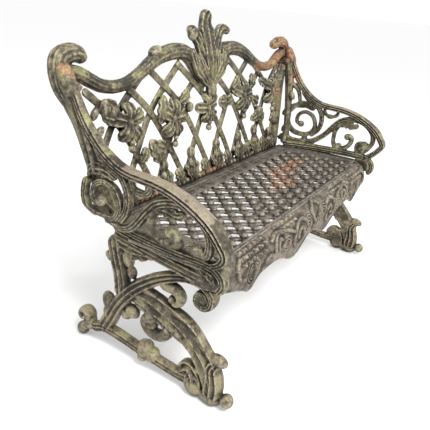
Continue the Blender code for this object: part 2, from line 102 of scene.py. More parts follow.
def smooth_curve(points: Sequence[Point], step: float) -> np.ndarray:
    """Reads a smooth curve through the given points at even steps of its length.

    Args:
        points: two or three coordinates each; a missing lift is 0.
        step: distance between the points that come back.

    Returns:
        An array of (across, up, lift) rows.
    """
    known = np.array([(*p, 0.0)[:3] for p in points], float)
    padded = np.vstack([2 * known[0] - known[1], known, 2 * known[-1] - known[-2]])
    out = []
    for i in range(1, len(padded) - 2):
        p0, p1, p2, p3 = padded[i - 1:i + 3]
        for t in np.linspace(0, 1, 12, endpoint=False):
            out.append(0.5 * (2 * p1 + (p2 - p0) * t + (2 * p0 - 5 * p1 + 4 * p2 - p3) * t ** 2
                              + (3 * p1 - p0 - 3 * p2 + p3) * t ** 3))
    dense = np.array(out + [padded[-2]])
    along = np.concatenate([[0], np.cumsum(np.linalg.norm(np.diff(dense, axis=0), axis=1))])
    count = max(4, int(along[-1] / step) + 1)
    even = np.linspace(0, along[-1], count)
    return np.stack([np.interp(even, along, dense[:, k]) for k in range(3)], axis=1)


def spiral(centre: Point, start: float, end: float, begin: float, turn: float,
           count: int = 9) -> list[Point]:
    """Points of a scroll that winds about a centre.

    Args:
        centre: the middle of the scroll in its drawing plane.
        start: radius where it begins.
        end: radius where it ends.
        begin: angle of the first point, in degrees.
        turn: how far it winds, in degrees; negative winds clockwise.
        count: number of points.

    Returns:
        The points in order.
    """
    points = []
    for k in range(count):
        t = k / (count - 1)
        angle = math.radians(begin + turn * t)
        radius = start + (end - start) * t
        points.append((centre[0] + radius * math.cos(angle), centre[1] + radius * math.sin(angle)))
    return points


def section_ring(kind: Section) -> tuple[np.ndarray, np.ndarray]:
    """The unit outline of a section.

    Args:
        kind: which section.

    Returns:
        Its places across the member and in depth, each between about -1 and 1.
    """
    angle = np.linspace(0, 2 * math.pi, SECTION_POINTS[kind], endpoint=False)
    cos, sin = np.cos(angle), np.sin(angle)
    if kind is Section.REEDED:
        radius = 0.84 + 0.16 * np.abs(np.cos(5.5 * angle)) ** 0.7
        return radius * cos, radius * sin
    if kind is Section.BARK:
        radius = 0.93 + 0.07 * np.cos(7 * angle) + 0.04 * np.cos(3 * angle + 1)
        return radius * cos, radius * sin
    if kind is Section.STRAP:
        return np.sign(cos) * np.abs(cos) ** 0.55, np.sign(sin) * np.abs(sin) ** 0.75
    if kind is Section.FLUTED:
        across = np.sign(cos) * np.abs(cos) ** 0.7
        depth = np.sign(sin) * np.abs(sin) ** 0.7
        return across, depth * (0.76 + 0.24 * np.cos(3 * math.pi * across))
    if kind is Section.LEAF:
        blade = np.where(sin >= 0, 0.30 + 0.55 * np.exp(-(cos / 0.20) ** 2) + 0.45 * np.abs(cos) ** 2.2,
                         -0.55)
        edge = np.minimum(1, np.abs(sin) * 3.5)
        return cos, blade * edge
    return cos, sin


@dataclass(frozen=True)
class Stroke:
    """One swept member of a casting: where it runs, how wide and deep it is, and its section."""

    points: Sequence[Point]
    width: float | Sequence[float]
    depth: float | Sequence[float]
    section: Section = Section.ROUND
    lobes: float = 0.0
    lobe_cut: float = 0.35
    round_ends: tuple[bool, bool] = (True, True)

    def mirrored(self) -> "Stroke":
        """The same member on the other side of the drawing's centre line."""
        flipped = [(-p[0], *p[1:]) for p in self.points]
        return Stroke(flipped, self.width, self.depth, self.section, self.lobes, self.lobe_cut,
                      self.round_ends)


@dataclass(frozen=True)
class Bud:
    """A swollen bud, berry, ball or boss, with ribs that run between its two ends."""

    centre: Point
    radii: Point
    tilt: float = 0.0
    ribs: int = 0
    rib_depth: float = 0.10

    def mirrored(self) -> "Bud":
        """The same bud on the other side of the drawing's centre line."""
        return Bud((-self.centre[0], *self.centre[1:]), self.radii, -self.tilt, self.ribs, self.rib_depth)


class Sculpture:
    """Collects the closed shells of one casting, drawn in a plane as (across, up, lift)."""

    def __init__(self, name: str, step: float = 0.003) -> None:
        """Starts an empty casting.

        Args:
            name: name of the piece that it becomes.
            step: spacing of the rings along its members.
        """
        self.name = name
        self.step = step
        self.points: list[np.ndarray] = []
        self.faces: list[tuple[int, ...]] = []
        self.total = 0

    def _shell(self, rings: np.ndarray, start_pole: np.ndarray, end_pole: np.ndarray) -> None:
        """Adds a closed tube of rings with a pole at each end."""
        count, around = rings.shape[:2]
        base = self.total
        first, last = base + count * around, base + count * around + 1
        self.points += [rings.reshape(-1, 3), start_pole[None], end_pole[None]]
        for i in range(count - 1):
            row, above = base + i * around, base + (i + 1) * around
            for k in range(around):
                n = (k + 1) % around
                self.faces.append((row + k, row + n, above + n, above + k))
        top = base + (count - 1) * around
        for k in range(around):
            n = (k + 1) % around
            self.faces.append((base + n, base + k, first))
            self.faces.append((top + k, top + n, last))
        self.total += count * around + 2

    def stroke(self, stroke: Stroke) -> None:
        """Sweeps one member along its curve.

        Args:
            stroke: the member.
        """
        path = smooth_curve(stroke.points, self.step)
        count = len(path)
        tangent = np.gradient(path, axis=0)
        tangent /= np.maximum(np.linalg.norm(tangent, axis=1), 1e-9)[:, None]
        side = np.stack([-tangent[:, 1], tangent[:, 0], np.zeros(count)], axis=1)
        side /= np.maximum(np.linalg.norm(side, axis=1), 1e-9)[:, None]
        out = np.cross(tangent, side)
        width, depth = spread(stroke.width, count), spread(stroke.depth, count)
        along = np.linspace(0, 1, count)
        length = self.step * count
        if stroke.lobes:
            width = width * (1 - stroke.lobe_cut * (1 - np.abs(np.sin(math.pi * stroke.lobes * along))))
        for end, distance in zip(stroke.round_ends, (along * length, (1 - along) * length)):
            if end:
                reach = np.clip(distance / np.maximum(width, END_WIDTH), END_SHARE, 1)
                factor = np.sqrt(1 - (1 - reach) ** 2)
                width, depth = width * factor, depth * factor
        across, deep = section_ring(stroke.section)
        deep = np.tile(deep, (count, 1))
        if stroke.section is Section.LEAF:
            aside = np.abs(across)[None]
            veins = np.cos(2 * math.pi * (max(stroke.lobes, 4) * along[:, None] - VEIN_SLANT * aside))
            deep = deep + np.where(deep > 0, VEIN_HEIGHT * veins * aside * (1 - aside) * 3, 0)
        rings = (path[:, None] + side[:, None] * (width[:, None] * across[None])[..., None]
                 + out[:, None] * (depth[:, None] * deep)[..., None])
        self._shell(rings, path[0], path[-1])

    def bud(self, bud: Bud) -> None:
        """Adds one bud, its ribs running along its own up direction.

        Args:
            bud: the bud.
        """
        levels, around = 9, 20
        polar = np.linspace(0, math.pi, levels + 2)[1:-1]
        angle = np.linspace(0, 2 * math.pi, around, endpoint=False)
        swell = 1 - bud.rib_depth * (0.5 - 0.5 * np.cos(bud.ribs * angle)) if bud.ribs else np.ones(around)
        a = np.sin(polar)[:, None] * np.cos(angle)[None] * swell * bud.radii[0]
        c = np.sin(polar)[:, None] * np.sin(angle)[None] * swell * bud.radii[2]
        b = np.broadcast_to(-np.cos(polar)[:, None] * bud.radii[1], a.shape)
        cos, sin = math.cos(bud.tilt), math.sin(bud.tilt)
        centre = np.array((*bud.centre, 0.0)[:3])
        rings = np.stack([a * cos + b * sin, b * cos - a * sin, c], axis=-1) + centre
        pole = np.array([bud.radii[1] * sin, bud.radii[1] * cos, 0.0])
        self._shell(rings, centre - pole, centre + pole)

    def draw(self, items: Iterable[Stroke | Bud], mirror: bool = False) -> None:
        """Adds a list of strokes and buds.

        Args:
            items: what to add.
            mirror: also add each on the other side of the centre line.
        """
        for item in items:
            for part in (item, item.mirrored()) if mirror else (item,):
                self.stroke(part) if isinstance(part, Stroke) else self.bud(part)

    def shape(self, place: Callable[[np.ndarray], np.ndarray]) -> bpy.types.Object:
        """Makes the mesh object.

        Args:
            place: maps the drawing's points to the bench.

        Returns:
            The new object, at the origin, with its faces turned outwards.
        """
        mesh = bpy.data.meshes.new(self.name)
        mesh.from_pydata(place(np.concatenate(self.points)).tolist(), [], self.faces)
        bm = bmesh.new()
        bm.from_mesh(mesh)
        bmesh.ops.recalc_face_normals(bm, faces=bm.faces)
        bm.to_mesh(mesh)
        bm.free()
        piece = bpy.data.objects.new(self.name, mesh)
        bpy.context.scene.collection.objects.link(piece)
        return piece


def bake_modifiers(piece: bpy.types.Object) -> None:
    """Applies an object's modifiers and removes them.

    Args:
        piece: the object.
    """
    graph = bpy.context.evaluated_depsgraph_get()
    mesh = bpy.data.meshes.new_from_object(piece.evaluated_get(graph))
    old = piece.data
    piece.modifiers.clear()
    piece.data = mesh
    bpy.data.meshes.remove(old)


def roughen(piece: bpy.types.Object, height: float) -> None:
    """Gives a surface the shallow unevenness of sand-cast iron.

    Args:
        piece: the object.
        height: how far its highest bumps stand out.
    """
    mesh = piece.data
    count = len(mesh.vertices)
    places, normals = np.empty(count * 3), np.empty(count * 3)
    mesh.vertices.foreach_get("co", places)
    mesh.vertex_normals.foreach_get("vector", normals)
    places, normals = places.reshape(-1, 3), normals.reshape(-1, 3)
    swell = np.array([noise.noise(p * COARSE_BUMPS) * COARSE_SHARE + noise.noise(p * FINE_BUMPS) * FINE_SHARE
                      for p in map(Vector, places)])
    mesh.vertices.foreach_set("co", (places + normals * (swell * height)[:, None]).ravel())
    mesh.update()


def fuse(piece: bpy.types.Object, voxel: float, keep: float) -> None:
    """Melts the overlapping shells of a casting into one skin with soft inner corners.

    Args:
        piece: the object.
        voxel: size of the smallest detail kept.
        keep: share of the faces that the thinned mesh keeps.
    """
    skin = piece.modifiers.new("skin", "REMESH")
    skin.mode = "VOXEL"
    skin.voxel_size = voxel
    soften = piece.modifiers.new("soften", "SMOOTH")
    soften.factor = 0.5
    soften.iterations = 2
    bake_modifiers(piece)
    roughen(piece, CAST_UNEVENNESS)
    if keep < 1:
        thin = piece.modifiers.new("thin", "DECIMATE")
        thin.ratio = keep
        bake_modifiers(piece)
    piece.data.shade_smooth()


# ------------------------------------------------------------------------------ planes
@dataclass(frozen=True)
class BackPlane:
    """The raked plane of the back: across, up the rake, and lift towards the sitter."""

    foot: Vector
    rake: float

    def place(self, points: np.ndarray) -> np.ndarray:
        """Maps drawing points to the bench."""
        cos, sin = math.cos(self.rake), math.sin(self.rake)
        x, up, lift = points.T
        return np.stack([x, self.foot.y + up * sin - lift * cos, self.foot.z + up * cos + lift * sin],
                        axis=1)


@dataclass(frozen=True)
class EndPlane:
    """An upright plane at one end: forward, up, and lift away from the middle."""

    side: int
    x: float
    bow: float = 0.0
    bow_from: float = 0.40
    bow_over: float = 0.06

    def place(self, points: np.ndarray) -> np.ndarray:
        """Maps drawing points to the bench."""
        forward, up, lift = points.T
        rise = np.clip((up - self.bow_from) / self.bow_over, 0, 1)
        x = self.x + self.bow * rise * rise * (3 - 2 * rise) + lift
        return np.stack([self.side * x, -forward, up], axis=1)


# ------------------------------------------------------------------------------ shader writing
class Wire:
    """A socket of a material being written; arithmetic on it adds Math nodes."""

    def __init__(self, desk: "Desk", socket: bpy.types.NodeSocket) -> None:
        """Wraps one output socket of the desk's material."""
        self.desk = desk
        self.socket = socket

    def _math(self, operation: str, *values: "Wire | float", clamp: bool = False) -> "Wire":
        """Adds one Math node and returns its result."""
        return self.desk.node("ShaderNodeMath", {"operation": operation, "use_clamp": clamp},
                              dict(enumerate(values)))

    def __add__(self, other: "Wire | float") -> "Wire":
        """Adds a value."""
        return self._math("ADD", self, other)

    def __sub__(self, other: "Wire | float") -> "Wire":
        """Takes a value away."""
        return self._math("SUBTRACT", self, other)

    def __rsub__(self, other: float) -> "Wire":
        """Takes this away from a value."""
        return self._math("SUBTRACT", other, self)

    def __mul__(self, other: "Wire | float") -> "Wire":
        """Multiplies by a value."""
        return self._math("MULTIPLY", self, other)

    __radd__ = __add__
    __rmul__ = __mul__

    def clamped(self) -> "Wire":
        """This value held between 0 and 1."""
        return self._math("ADD", self, 0.0, clamp=True)

    def between(self, low: float, high: float) -> "Wire":
        """A smooth step of this value.

        Args:
            low: where the step starts; above high the step falls instead of rising.
            high: where it ends.

        Returns:
            A value from 0 to 1.
        """
        return self.desk.node("ShaderNodeMapRange", {"interpolation_type": "SMOOTHSTEP"},
                              {"Value": self, "From Min": low, "From Max": high})


class Desk:
    """Writes the nodes of one material."""

    def __init__(self, name: str) -> None:
        """Opens a new material with only its shader and output."""
        self.material = bpy.data.materials.new(name)
        self.material.use_nodes = True
        self.tree = self.material.node_tree
        self.shader = self.tree.nodes["Principled BSDF"]

    def node(self, kind: str, settings: dict[str, object], inputs: dict[object, object],
             output: int | str = 0) -> Wire:
        """Adds any node.

        Args:
            kind: the node's type.
            settings: attributes, set before its sockets.
            inputs: socket name or index to a number, colour or Wire.
            output: which output comes back.

        Returns:
            That output.
        """
        made = self.tree.nodes.new(kind)
        for key, value in settings.items():
            setattr(made, key, value)
        for key, value in inputs.items():
            self.feed(made.inputs[key], value)
        return Wire(self, made.outputs[output])

    def feed(self, socket: bpy.types.NodeSocket, value: object) -> None:
        """Links a Wire to a socket, or sets a plain value on it."""
        if isinstance(value, Wire):
            self.tree.links.new(value.socket, socket)
        elif isinstance(value, tuple) and socket.type == "RGBA":
            socket.default_value = (*value, 1.0)
        else:
            socket.default_value = value

    def blend(self, factor: "Wire | float", low: object, high: object) -> Wire:
        """Mixes two colours.

        Args:
            factor: 0 gives the first, 1 the second.
            low: first colour.
            high: second colour.

        Returns:
            The mixed colour.
        """
        made = self.tree.nodes.new("ShaderNodeMix")
        made.data_type = "RGBA"
        self.feed(made.inputs[0], factor)
        self.feed(made.inputs[6], low)
        self.feed(made.inputs[7], high)
        return Wire(self, made.outputs[2])

    def place(self) -> Wire:
        """The point being shaded, in the bench's own frame."""
        return self.node("ShaderNodeTexCoord", {}, {}, "Object")

    def noise(self, place: Wire, scale: float, detail: float = 3.0, rough: float = 0.55) -> Wire:
        """Cloudy noise of about 0 to 1 over the surface."""
        return self.node("ShaderNodeTexNoise", {"noise_dimensions": "3D"},
                         {"Vector": place, "Scale": scale, "Detail": detail, "Roughness": rough}, "Fac")

    def near(self, place: Wire, spot: "Spot") -> Wire:
        """How close a point is to a spot, from 0 at its edge to 1 at its middle."""
        away = self.node("ShaderNodeVectorMath", {"operation": "SUBTRACT"}, {0: place, 1: spot.centre})
        away = self.node("ShaderNodeVectorMath", {"operation": "DIVIDE"}, {0: away, 1: spot.radii})
        length = self.node("ShaderNodeVectorMath", {"operation": "LENGTH"}, {0: away}, "Value")
        return length.between(1.0, 0.45)


@dataclass(frozen=True)
class Spot:
    """A stained place on the bench: its middle and how far it reaches each way."""

    centre: Colour
    radii: Colour


@dataclass(frozen=True)
class WeatheredIron:
    """The finish of the castings: bare oxidised iron with lichen on its ridges and rust in patches."""

    name: str
    # Near black: the painted shade of creases and occluded hollows, and also the real dark grit specks.
    deep: Colour = (0.009, 0.007, 0.005)
    body: Colour = (0.074, 0.062, 0.039)
    # A pale tan laid on sharp ridges: partly rubbed edges, partly painted highlight.
    worn_edge_and_highlight: Colour = (0.42, 0.37, 0.25)
    lichen: Colour = (0.27, 0.28, 0.10)
    moss: Colour = (0.12, 0.15, 0.045)
    rust: Colour = (0.30, 0.115, 0.045)
    pale_rust: Colour = (0.42, 0.22, 0.11)
    stain: Colour = (0.24, 0.12, 0.06)
    bare: Colour = (0.29, 0.235, 0.18)
    lichen_share: float = 0.55
    rust_spots: tuple[Spot, ...] = ()
    bare_spots: tuple[Spot, ...] = ()
    roughness: float = 0.60
    metallic: float = 0.30
    specular: float = 0.45
    bump_strength: float = 0.55
    bump_distance: float = 0.0016

    BROAD, PATCH, FLECK, GRIT = 7.0, 26.0, 95.0, 420.0

    def write(self) -> bpy.types.Material:
        """Writes the material.

        Returns:
            The finished material.
        """
        desk = Desk(self.name)
        place = desk.place()
        broad, patch = desk.noise(place, self.BROAD), desk.noise(place, self.PATCH, 4.0)
        fleck, grit = desk.noise(place, self.FLECK, 4.0, 0.65), desk.noise(place, self.GRIT, 2.0)
        geometry = desk.tree.nodes.new("ShaderNodeNewGeometry")
        ridge = Wire(desk, geometry.outputs["Pointiness"]).between(0.503, 0.555)
        # Low pointiness marks creases, which get painted shade below.
        crease_shade = Wire(desk, geometry.outputs["Pointiness"]).between(0.495, 0.455)
        up = desk.node("ShaderNodeSeparateXYZ", {}, {0: Wire(desk, geometry.outputs["Normal"])}, 2)
        # Ambient occlusion within 3 cm: it paints shade into hollows and between members, and keeps lichen
        # to open surfaces.
        occlusion = desk.node("ShaderNodeAmbientOcclusion", {"samples": 6}, {"Distance": 0.030}, "AO")
        unoccluded = occlusion.between(0.38, 0.97)

        colour = desk.blend((broad * 0.3 + patch * 0.4 + fleck * 0.3).between(0.42, 0.58),
                            tuple(0.42 * c for c in self.body), tuple(2.2 * c for c in self.body))
        lichen_here = (patch * 0.55 + fleck * 0.45 + broad * 0.25).between(
            0.80 - 0.32 * self.lichen_share, 0.92 - 0.32 * self.lichen_share)
        lichen_here = lichen_here * (0.35 + 0.65 * up.between(-0.3, 0.7)) * unoccluded
        lichen_tone = desk.blend(fleck.between(0.4, 0.6), self.moss, self.lichen)
        colour = desk.blend(lichen_here * 0.75, colour, lichen_tone)
        # Painted highlight and wear: sharp ridges are lightened towards the pale tan.
        colour = desk.blend(ridge * fleck.between(0.34, 0.58) * 0.90, colour, self.worn_edge_and_highlight)
        colour = self._patches(desk, place, colour, self.bare_spots, self.bare, patch, 0.65)
        rust_tone = desk.blend(fleck.between(0.35, 0.65), self.rust, self.pale_rust)
        colour = self._patches(desk, place, colour, self.rust_spots, rust_tone, fleck, 0.52)
        stained = (desk.noise(place, 14.0, 5.0) * 0.6 + grit * 0.4).between(0.60, 0.72)
        colour = desk.blend(stained * 0.45, colour, self.stain)
        # Painted shade: creases and occluded places are darkened to near black.
        colour = desk.blend((crease_shade * 0.85 + (1 - unoccluded) * 0.90).clamped(), colour, self.deep)
        colour = desk.blend(grit.between(0.54, 0.66) * 0.55, colour, self.deep)
        desk.feed(desk.shader.inputs["Base Color"], colour)
        desk.feed(desk.shader.inputs["Roughness"], self.roughness + 0.2 * (fleck - 0.5) - 0.10 * ridge)
        desk.shader.inputs["Metallic"].default_value = self.metallic
        desk.shader.inputs["Specular IOR Level"].default_value = self.specular
        height = grit * 0.25 + fleck * 0.75 + patch * 0.6
        bump = desk.node("ShaderNodeBump", {}, {"Strength": self.bump_strength,
                                                "Distance": self.bump_distance, "Height": height})
        desk.feed(desk.shader.inputs["Normal"], bump)
        return desk.material

    def _patches(self, desk: Desk, place: Wire, colour: Wire, spots: tuple[Spot, ...], tone: object,
                 breakup: Wire, strength: float) -> Wire:
        """Lays one tone over a colour at each of the spots.

        Args:
            desk: where the nodes are written.
            place: the point being shaded.
            colour: the colour so far.
            spots: where the tone shows.
            tone: the colour laid over.
            breakup: noise that breaks the patches up.
            strength: how strongly the tone covers.

        Returns:
            The new colour.
        """
        for spot in spots:
            here = (desk.near(place, spot) * 0.65 + breakup * 1.8 - 1.20).between(0.0, 0.30)
            colour = desk.blend(here * strength, colour, tone)
        return colour


# ------------------------------------------------------------------------------ the back
@dataclass
class Back:
    """The raked back casting: rails, stiles, lattice, passion flowers, buds and crest."""

    plane: BackPlane
    pitch: float = 0.143
    bar_half: float = 0.0105
    bar_depth: float = 0.0052
    bar_lift: float = 0.0035
    stile_at: float = 0.478
    stile_lean: float = 0.16
    voxel: float = 0.0020
    keep: float = 0.27

    RAIL = ((0.585, 0.352), (0.560, 0.362), (0.530, 0.357), (0.500, 0.342), (0.465, 0.326), (0.424, 0.319),
            (0.380, 0.322), (0.340, 0.334), (0.300, 0.352), (0.262, 0.371), (0.220, 0.386), (0.170, 0.394),
            (0.120, 0.392), (0.088, 0.376), (0.064, 0.346), (0.044, 0.308), (0.030, 0.268))
    RAIL_HALF = (0.018, 0.019, 0.019, 0.018, 0.0175, 0.017, 0.0175, 0.018, 0.0195, 0.021, 0.023, 0.024,
                 0.024, 0.023, 0.020, 0.017, 0.014)

    def build(self) -> bpy.types.Object:
        """Draws, fuses and returns the casting."""
        art = Sculpture("back_casting")
        art.draw(self.rails(), mirror=True)
        art.draw(self.lattice())
        art.draw(self.base())
        art.draw(self.crest())
        art.draw(self.foliage())
        piece = art.shape(self.plane.place)
        fuse(piece, self.voxel, self.keep)
        return piece

    def rails(self) -> list[Stroke | Bud]:
        """The right half of the top rail with its corner scroll, and the right stile."""
        hook = ((0.556, 0.285), (0.582, 0.330), (0.588, 0.370), (0.578, 0.396), (0.548, 0.405),
                (0.522, 0.402, -0.006), (0.503, 0.385, -0.015))
        stile = ((0.474, -0.012), (0.492, 0.05), (0.510, 0.12), (0.528, 0.20), (0.546, 0.26),
                 (0.570, 0.310))
        items: list[Stroke | Bud] = [
            Stroke(self.RAIL, self.RAIL_HALF, tuple(0.95 * r for r in self.RAIL_HALF), Section.REEDED),
            Stroke(hook, (0.019, 0.022, 0.024, 0.025, 0.024, 0.021, 0.016), 0.021, Section.REEDED),
            Stroke(stile, (0.025, 0.024, 0.024, 0.024, 0.025), 0.018, Section.BARK),
        ]
        for x, up, tilt in ((0.487, 0.105, -0.7), (0.492, 0.155, -0.8), (0.503, 0.215, -0.8),
                            (0.512, 0.262, -0.6)):
            items.append(Bud((x - 0.012, up, 0.006), (0.011, 0.019, 0.010), tilt, 5))
        return items

    def rail_height(self, x: float) -> float:
        """Height of the top rail's middle at a distance from the centre line."""
        known = sorted(self.RAIL[3:])
        return float(np.interp(x, [p[0] for p in known], [p[1] for p in known]))

    def lattice(self) -> list[Stroke | Bud]:
        """The slanting bars, one lean passing in front of the other."""
        rises = ((0.0, 0.0), (0.0716, 0.127), (0.143, 0.233), (0.212, 0.297), (0.300, 0.365))
        items: list[Stroke | Bud] = []
        for start in range(-4, 5):
            for lean in (-1, 1):
                bar = [(start * self.pitch + lean * a, b, -self.bar_lift * lean) for a, b in rises]
                inside = [tuple(p) for p in smooth_curve(bar, 0.006)
                          if abs(p[0]) < self.stile_at + self.stile_lean * p[1]
                          and p[1] < self.rail_height(abs(p[0]))]
                if len(inside) > 8:
                    items.append(Stroke(inside[::3] + [inside[-1]], self.bar_half, self.bar_depth,
                                        Section.STRAP))
        return items

    def base(self) -> list[Stroke | Bud]:
        """The base rail with its row of bulbs and the leafy buds that rise from it."""
        items: list[Stroke | Bud] = [Stroke(((-0.485, 0.0), (0.0, 0.0), (0.485, 0.0)), 0.0125, 0.012)]
        bulbs = 42
        for k in range(bulbs):
            x = -0.46 + 0.92 * k / (bulbs - 1)
            items.append(Bud((x, 0.004, 0.010), (0.0085, 0.011, 0.008), 0.15 * math.sin(k), 4))
        for x, tall in ((-0.400, 0.075), (-0.255, 0.100), (-0.117, 0.112), (0.032, 0.112), (0.180, 0.112),
                        (0.300, 0.115), (0.420, 0.080)):
            items += self.acanthus_bud(x, tall)
        for x, lean in ((-0.325, -0.2), (-0.180, -0.25), (-0.042, -0.2), (0.104, -0.2), (0.244, -0.2),
                        (0.362, 0.2)):
            top = (x + lean * 0.05, 0.056, 0.010)
            items.append(Stroke(((x, 0.004, 0.008), (x + lean * 0.02, 0.030, 0.013), top),
                                (0.012, 0.021, 0.018), 0.010, Section.LEAF, 3))
        return items

    def acanthus_bud(self, x: float, tall: float) -> list[Stroke | Bud]:
        """One upright leaf bud with two side leaves.

        Args:
            x: where it stands along the base rail.
            tall: its height.

        Returns:
            Its strokes.
        """
        items: list[Stroke | Bud] = [
            Stroke(((x, 0.0, 0.006), (x, tall * 0.4, 0.014), (x, tall * 0.72, 0.010)),
                   (0.014, 0.018, 0.012), 0.012, Section.LEAF, 2.5, 0.25),
            Bud((x, tall * 0.80, 0.010), (0.016, 0.021, 0.014), 0.0, 5, 0.18),
            Bud((x - 0.011, tall * 0.50, 0.015), (0.011, 0.014, 0.010), 0.4, 4, 0.15),
            Bud((x + 0.011, tall * 0.50, 0.015), (0.011, 0.014, 0.010), -0.4, 4, 0.15)]
        for lean in (-1, 1):
            items.append(Stroke(((x, 0.006, 0.010), (x + lean * 0.018, tall * 0.28, 0.014),
                                 (x + lean * 0.032, tall * 0.52, 0.008)), (0.010, 0.014, 0.010), 0.010,
                                Section.LEAF, 3))
        return items

    def flower(self, x: float, up: float, size: float, turn: float) -> list[Stroke | Bud]:
        """A passion flower facing the sitter, its stamens hanging below it.

        Args:
            x: its middle across the back.
            up: its middle up the back.
            size: how far its petals reach.
            turn: rotation of its petals in radians.

        Returns:
            Its strokes and buds.
        """
        items: list[Stroke | Bud] = []
        petals = 5
        for k in range(petals):
            angle = turn + 2 * math.pi * k / petals
            reach = size * (1.06 + 0.12 * math.sin(3 * k + turn * 5))
            cos, sin = math.cos(angle), math.sin(angle)
            path = ((x, up, 0.012), (x + cos * reach * 0.55, up + sin * reach * 0.55, 0.023),
                    (x + cos * reach, up + sin * reach, 0.006))
            items.append(Stroke(path, (0.006, size * 0.27, size * 0.37, size * 0.27), 0.0105,
                                Section.LEAF, 0))
        items.append(Bud((x, up, 0.020), (0.013, 0.013, 0.010), 0, 8, 0.2))
        drop = size * 1.15
        items.append(Stroke(((x, up, 0.024), (x + 0.003, up - drop * 0.5, 0.026),
                             (x, up - drop, 0.018)), 0.005, 0.005))
        items.append(Bud((x + 0.001, up - drop * 0.78, 0.022), (0.009, 0.007, 0.008)))
        items.append(Bud((x, up - drop - 0.004, 0.018), (0.011, 0.011, 0.010), 0, 6, 0.15))
        return items

    def leaf(self, x: float, up: float, length: float, angle: float, half: float,
             lift: float = 0.012) -> Stroke:
        """One lobed leaf lying on the lattice, from its stalk at (x, up)."""
        cos, sin = math.cos(math.radians(angle)), math.sin(math.radians(angle))
        path = ((x, up, lift), (x + cos * length * 0.5, up + sin * length * 0.5, lift + 0.006),
                (x + cos * length, up + sin * length, lift - 0.004))
        return Stroke(path, (half * 0.35, half, half * 0.95, half * 0.35), 0.010, Section.LEAF, 3.5, 0.28)

    def foliage(self) -> list[Stroke | Bud]:
        """Flowers, leaves and fruit over the lattice."""
        items: list[Stroke | Bud] = []
        for x, up, size, turn in ((-0.394, 0.226, 0.058, 0.30), (-0.205, 0.208, 0.060, 0.1),
                                  (-0.022, 0.216, 0.050, 0.5), (0.212, 0.232, 0.060, 0.2),
                                  (0.442, 0.226, 0.058, 0.0)):
            items += self.flower(x, up, size, turn)
        for x, up, length, angle, half in (
                (-0.262, 0.200, 0.085, 70, 0.026), (-0.245, 0.205, 0.075, 35, 0.024),
                (-0.165, 0.250, 0.06, 30, 0.020), (-0.310, 0.165, 0.085, -62, 0.028),
                (-0.300, 0.150, 0.06, -20, 0.020), (-0.330, 0.150, 0.05, -120, 0.018),
                (-0.470, 0.292, 0.055, -50, 0.022), (-0.452, 0.286, 0.055, -85, 0.020),
                (-0.484, 0.252, 0.05, -20, 0.018), (0.052, 0.228, 0.060, -10, 0.026),
                (0.092, 0.216, 0.055, 25, 0.020), (0.020, 0.225, 0.045, 100, 0.018),
                (0.145, 0.262, 0.060, 40, 0.020), (0.265, 0.250, 0.060, 62, 0.022),
                (0.282, 0.215, 0.055, -30, 0.024), (0.300, 0.155, 0.075, -8, 0.026),
                (0.335, 0.165, 0.060, -70, 0.024), (0.318, 0.150, 0.045, 200, 0.018),
                (0.470, 0.292, 0.055, 230, 0.022), (0.395, 0.250, 0.055, 150, 0.020),
                (0.455, 0.150, 0.05, 250, 0.018)):
            items.append(self.leaf(x, up, length, angle, half))
        for x, up, wide, tall in ((-0.472, 0.272, 0.018, 0.024), (-0.448, 0.262, 0.015, 0.020),
                                  (0.330, 0.150, 0.026, 0.030), (0.345, 0.128, 0.014, 0.016),
                                  (0.470, 0.272, 0.016, 0.022), (-0.118, 0.232, 0.014, 0.016)):
            items.append(Bud((x, up, 0.014), (wide, tall, 0.014), 0.2, 6, 0.15))
        return items

    def crest(self) -> list[Stroke | Bud]:
        """The plume of leaves at the middle of the top rail, with the knot on the left arch."""
        items: list[Stroke | Bud] = [
            Bud((-0.247, 0.396, 0.004), (0.026, 0.017, 0.020), -0.25, 5),
            Stroke(((0.004, 0.275, 0.010), (0.0, 0.36, 0.020), (-0.004, 0.43, 0.014),
                    (0.0, 0.482, 0.006), (0.016, 0.505, 0.016)), (0.016, 0.028, 0.030, 0.034, 0.020),
                   0.016, Section.LEAF, 3.5, 0.2),
            Stroke(((-0.002, 0.300, 0.006), (-0.030, 0.375, 0.014), (-0.055, 0.425, 0.012),
                    (-0.074, 0.452, 0.004), (-0.086, 0.438, 0.010)),
                   (0.012, 0.022, 0.024, 0.020, 0.012), 0.015, Section.LEAF, 3, 0.2),
            Stroke(((0.008, 0.300, 0.006), (0.030, 0.370, 0.014), (0.052, 0.418, 0.012),
                    (0.085, 0.452, 0.006), (0.112, 0.452, 0.010), (0.118, 0.438, 0.016)),
                   (0.012, 0.021, 0.024, 0.022, 0.017, 0.011), 0.015, Section.LEAF, 3, 0.2),
            Bud((-0.074, 0.442, 0.010), (0.020, 0.022, 0.016), 0.5, 5),
            Bud((0.002, 0.272, 0.018), (0.026, 0.030, 0.016), 0, 7, 0.15),
        ]
        for x, up, bend in ((-0.095, 0.400, -0.02), (-0.060, 0.385, -0.012), (0.060, 0.385, 0.012),
                            (0.090, 0.402, 0.02)):
            items.append(Stroke(((0.0, 0.280, 0.014), (x * 0.5 + bend, 0.335, 0.022), (x, up, 0.016)),
                                (0.010, 0.018, 0.012), 0.011, Section.LEAF, 2.5, 0.15))
        return items


